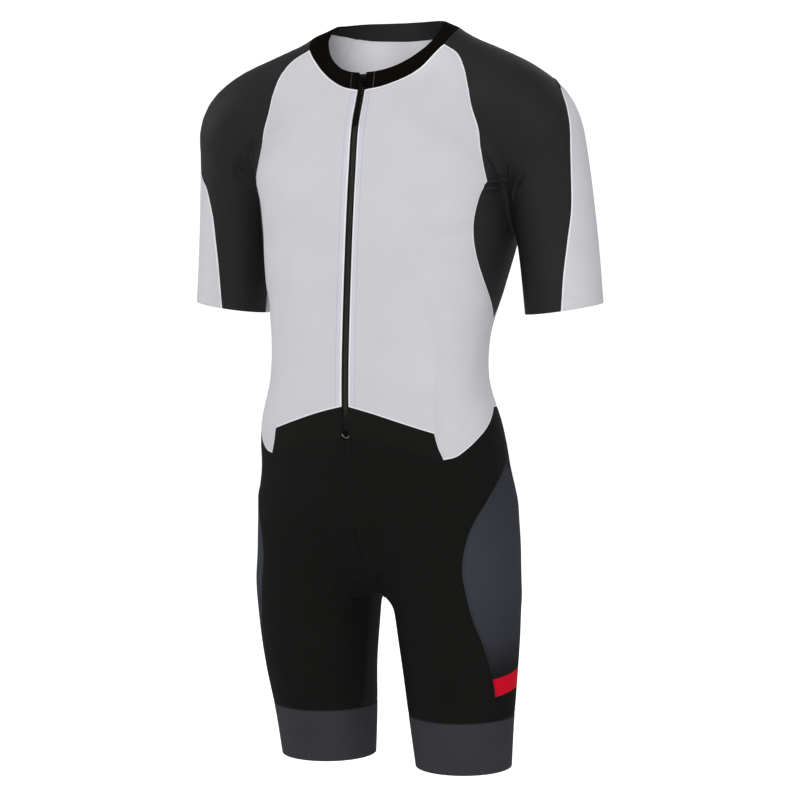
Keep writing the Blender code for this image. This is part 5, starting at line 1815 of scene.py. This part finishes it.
# Painted light: the pale cloth's inside is painted far brighter than its outside, to light the
# inside of the back seen through the neck.
PALE_INSIDE_PAINTED_LIGHT = cloth("pale_inside_painted_light_knit", (0.90, 0.90, 0.93), PALE_THREAD, [], knit_depth=0.00006)
print("pale cloths:", sum(made.name.startswith("pale") for made in bpy.data.materials))

# %% [markdown]
# ### The dark cloths
# Black cloths differ more in sheen than in colour: the sleeves' smooth knit catches the lamps, and
# the shorts' heavier one hardly does. One black on all of them would make the suit look painted,
# so each has its own value and gloss. The side panels' black is painted lighter, as painted light
# in the shade under the arms, and the shorts' back is painted lighter than their front, as a
# painted sheen. The leg grippers are knitted from mixed grey yarn.

# %% Dark cloths
BLACK_THREAD = (0.013, 0.013, 0.013)
HEM_ROWS = [row("bottom", 0.0022), row("bottom", 0.0062)]

# Painted sheen: the shorts' back is painted nearly twice as light as their front, for a grazing
# sheen at the hip.
SHORTS_BACK_PAINTED_SHEEN = cloth(
    "black_shorts_back_painted_sheen_knit", (0.0150, 0.0150, 0.0158), BLACK_THREAD,
    [row("left", 0.0035), row("top", 0.0035), row("bottom", 0.0022)],
    roughness=0.8, specular=0.08,
)
SLEEVE_BLACK = cloth(
    "black_sleeve_knit", (0.0180, 0.0180, 0.0180), (0.026, 0.026, 0.026),
    [row("bottom", 0.0140, width=0.0004)],
    roughness=0.55, specular=0.12,
)
# Painted light: the side panels' black is painted lighter than the sleeves', standing in for light
# in the shade under the arms.
SIDE_BLACK_PAINTED_LIGHT = cloth(
    "black_side_painted_light_knit", (0.0215, 0.0215, 0.0215), (0.012, 0.012, 0.012),
    [row("left", 0.0035), row("right", 0.0035)],
    roughness=0.6, specular=0.10,
)
SHORTS_BLACK = cloth(
    "black_shorts_knit", (0.0080, 0.0080, 0.0073), BLACK_THREAD,
    [row("left", 0.0035), row("top", 0.0035), *HEM_ROWS],
    roughness=0.8, specular=0.06,
)
BELT_BLACK = cloth(
    "black_belt_knit", (0.0096, 0.0096, 0.0084), BLACK_THREAD,
    [
        row("bottom", 0.0022),
        row("left", 0.0050, 0.0016, 0.0005),
        row("left", 0.0095, 0.0016, 0.0005),
    ],
    roughness=0.8, specular=0.06,
)
NECK_BLACK = cloth(
    "black_neck_binding", (0.0040, 0.0032, 0.0024), (0.11, 0.11, 0.10),
    [row("left", 0.0105, width=0.0008), row("right", 0.0105, width=0.0008)],
    roughness=0.8, specular=0.02,
)
# Painted light: the band's inner face is the same black knit as its outer one, painted grey where
# it shows lit inside the neck.
NECK_INSIDE_PAINTED_LIGHT = cloth(
    "neck_binding_inside_painted_light", (0.030, 0.030, 0.030), (0.05, 0.05, 0.05),
    [row("bottom", 0.0030, width=0.0004)],
    roughness=0.8, specular=0.04,
)
GREY_BAND = cloth(
    "heather_grey_knit", (0.043, 0.042, 0.048), (0.030, 0.030, 0.034),
    [row("top", 0.0024), row("left", 0.0025), row("right", 0.0025)],
    roughness=0.85, specular=0.10, knit_depth=0.00016, shade=0.25, mottle=0.12, heather=0.7,
    edge=(0.006, 0.006, 0.006), edge_sides=("top",),
)
print("dark cloths:", sum("black" in made.name for made in bpy.data.materials))

# %% [markdown]
# ### The printed thigh panel
# The panel is printed before it is cut: a soft dark grey that is lightest at mid thigh, a plain red
# band near the bottom, and black under that. The print follows height on the body, so it reads
# Object coordinates and the cut map's sideways distance.

# %% Thigh print
RED = (0.66, 0.004, 0.024)
PRINT_LIGHT = (0.047, 0.050, 0.064)
PRINT_DARK = (0.035, 0.036, 0.043)
PRINT_BLACK = (0.0085, 0.0085, 0.0085)
BAND_SLANT = 0.11  # how much the red band rises towards the back, metre for metre
BAND_TOP, BAND_BOTTOM = -0.7556, -0.7790
PANEL_FOOT, PANEL_LENGTH = -0.755, 0.29  # the grey's fade from the red band to the hip
PANEL_WIDTH = 0.11
CRISP = 0.0006  # the soft width of a printed edge


def thigh_print(tree, place):
    """Soft grey, a red band near the bottom and black under it, by height on the leg."""
    sums = partial(math_node, tree)
    _, depth, level = parts_of(tree, place)
    height = sums("MULTIPLY_ADD", depth, -BAND_SLANT, level)
    fade = tree.nodes.new("ShaderNodeValToRGB")
    ramp = fade.color_ramp
    ramp.interpolation = "EASE"
    ramp.elements[0].position, ramp.elements[0].color = 0.0, (*PRINT_DARK, 1)
    ramp.elements[1].position, ramp.elements[1].color = 1.0, (*PRINT_DARK, 1)
    middle = ramp.elements.new(0.45)
    middle.color = (*PRINT_LIGHT, 1)
    share = sums("DIVIDE", sums("ADD", level, -PANEL_FOOT), PANEL_LENGTH, clamp=True)
    tree.links.new(share, fade.inputs["Fac"])
    front = sums("DIVIDE", read_value(tree, "from_left"), PANEL_WIDTH, clamp=True)
    front = sums("MULTIPLY", front, 0.35)
    sideways = mix_colour(tree, front, fade.outputs["Color"], PRINT_DARK)
    dark_low = step_mask(tree, height, BAND_TOP + 0.022, 0.05)
    grey = mix_colour(tree, dark_low, PRINT_BLACK, sideways)
    above = step_mask(tree, height, BAND_TOP, CRISP)
    below = sums("SUBTRACT", 1.0, step_mask(tree, height, BAND_BOTTOM, CRISP))
    red = mix_colour(tree, above, RED, grey)
    return mix_colour(tree, below, red, PRINT_BLACK)


PRINT = cloth(
    "printed_thigh_knit", PRINT_LIGHT, (0.012, 0.012, 0.014),
    [row("left", 0.0022), row("right", 0.0022), *HEM_ROWS],
    roughness=0.8, specular=0.04, shade=0.2, mottle=0.06, paint=thigh_print,
)
print("cloths:", sum(made.name.endswith("knit") for made in bpy.data.materials))

# %% [markdown]
# ### The zip's own finishes
# The tape is a tight herringbone weave, the coil is matt plastic, and the slider and its tab are
# coated metal with a fine speckle of wear. They read Object coordinates, because none of
# them was cut from the knit.

# %% The tape's herringbone weave
RIB_WIDTH, PICK = 0.0016, 0.0006  # of the herringbone, across and along the tape


def tape_weave():
    made, tree, shader = new_material("woven_tape", 0.85)
    shader.inputs["Specular IOR Level"].default_value = 0.2
    sums = partial(math_node, tree)
    across, _, up = parts_of(tree, tree.nodes.new("ShaderNodeTexCoord").outputs["Object"])
    ribs = sums("FRACT", sums("DIVIDE", across, RIB_WIDTH))
    ribs = sums("ABSOLUTE", sums("SUBTRACT", ribs, 0.5))
    phase = sums("ADD", sums("DIVIDE", up, PICK), sums("MULTIPLY", ribs, 2.4))
    wave = sums("SINE", sums("MULTIPLY", phase, 2 * math.pi))
    twill = sums("MULTIPLY_ADD", wave, 0.5, 0.5)
    # Painted shade: the tape's colour follows the weave's height, darker in its low parts.
    colour = mix_colour(tree, twill, (0.004, 0.004, 0.004), (0.012, 0.012, 0.011))
    tree.links.new(colour, shader.inputs["Base Color"])
    bump_from(tree, shader, twill, 0.00012)
    return made


TAPE = tape_weave()
print("tape:", len(TAPE.node_tree.nodes), "nodes")

# %% Coil and metal
PAINTED_SHADE_REACH = 0.012


def coated(name, colour, worn, roughness, metallic, specular=0.12, fade=None):
    """Coated metal or plastic with a fine speckle. Below the height fade it is darker."""
    made, tree, shader = new_material(name, roughness)
    shader.inputs["Metallic"].default_value = metallic
    shader.inputs["Specular IOR Level"].default_value = specular
    sums = partial(math_node, tree)
    place = tree.nodes.new("ShaderNodeTexCoord").outputs["Object"]
    grain = noise(tree, place, 900.0, 4.0)
    rub = sums("MULTIPLY", sums("SUBTRACT", grain, 0.52), 4.0, clamp=True)
    surface = mix_colour(tree, rub, colour, worn)
    # Painted shade: below the fade height the colour is darkened to 0.16 of itself.
    if fade:
        lit = step_mask(tree, parts_of(tree, place)[2], fade, PAINTED_SHADE_REACH)
        surface = mix_colour(tree, lit, tuple(0.16 * c for c in colour), surface)
    tree.links.new(surface, shader.inputs["Base Color"])
    gloss = sums("MULTIPLY_ADD", grain, 0.2, roughness - 0.1)
    tree.links.new(gloss, shader.inputs["Roughness"])
    bump_from(tree, shader, grain, 0.00002)
    return made


# The coil's last turns, below -0.440 m, are darkened as painted shade.
COIL = coated("coil_plastic", (0.125, 0.145, 0.110), (0.18, 0.20, 0.16), 0.5, 0.0, fade=-0.440)
ENAMEL = coated("black_enamel", (0.0022, 0.0022, 0.0018), (0.006, 0.006, 0.006), 0.6, 0.0, 0.05)
RUBBER = coated("black_rubber", (0.0030, 0.0030, 0.0024), (0.006, 0.006, 0.006), 0.7, 0.0, 0.05)
STEEL = coated("bright_steel", (0.26, 0.28, 0.25), (0.42, 0.44, 0.40), 0.35, 0.9)
print("materials:", len(bpy.data.materials))

# %% [markdown]
# ## Dressing the frame
# Each finished piece rides on its body and stands for the solid of the same cut. The size each
# cloth piece was cut to is kept with it.

# %% Ride and replace
DRESS = [
    # piece, frame node, material; a pair has {} for left and right
    ("front_panel_{}", "front_{}", PALE_FRONT),
    ("back_panel", "back", PALE_BACK),
    ("underarm_panel_{}", "side_panel_{}", SIDE_BLACK_PAINTED_LIGHT),
    ("sleeve_dark_{}", "sleeve_front_{}", SLEEVE_BLACK),
    ("sleeve_pale_{}", "sleeve_back_{}", PALE_SLEEVE),
    ("belt_{}", "waist_{}", BELT_BLACK),
    ("shorts_front_piece_{}", "shorts_front_{}", SHORTS_BLACK),
    ("shorts_back_piece_{}", "shorts_back_{}", SHORTS_BACK_PAINTED_SHEEN),
    ("thigh_panel_{}", "thigh_side_{}", PRINT),
    ("leg_gripper_{}", "leg_band_{}", GREY_BAND),
    ("neck_binding", "neck_band", NECK_BLACK),
]
# Inside faces: the pale cloths and the neck band get painted light, a brighter inside than outside;
# every other cloth is the same on both faces.
INSIDE = {fabric: PALE_INSIDE_PAINTED_LIGHT for fabric in (PALE_BACK, PALE_FRONT, PALE_SLEEVE)}
INSIDE[NECK_BLACK] = NECK_INSIDE_PAINTED_LIGHT
for names, nodes, fabric in DRESS:
    for side in ("left", "right") if "{}" in names else ("",):
        made = MADE[names.format(side)]
        piece = made.object
        piece.data.materials[0] = fabric
        piece.data.materials[1] = INSIDE.get(fabric, fabric)
        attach(piece, "suit")
        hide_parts(nodes.format(side))
print("cloth pieces:", len(MADE))

# %% The zip's parts ride too
stop.data.materials[0], stop.data.materials[1] = ENAMEL, STEEL
for piece, fabric, body, node in [
    (tape_left, TAPE, "suit", "zip_tape_left"),
    (tape_right, TAPE, "suit", "zip_tape_right"),
    (slider, ENAMEL, "suit", "zip_slider"),
    (pull, RUBBER, "pull", "zip_pull"),
    (stop, None, "suit", "zip_stop"),
    (coil_left, COIL, "suit", "zip_chain"),
    (coil_right, COIL, "suit", None),
]:
    if fabric:
        piece.data.materials.clear()
        piece.data.materials.append(fabric)
    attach(piece, body)
    if node:
        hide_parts(node)
print("the pull tab rides on the body pull, and all the rest on suit")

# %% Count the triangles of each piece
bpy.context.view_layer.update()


for name, made in MADE.items():
    print(name, sum(len(p.vertices) - 2 for p in made.object.data.polygons), "triangles")
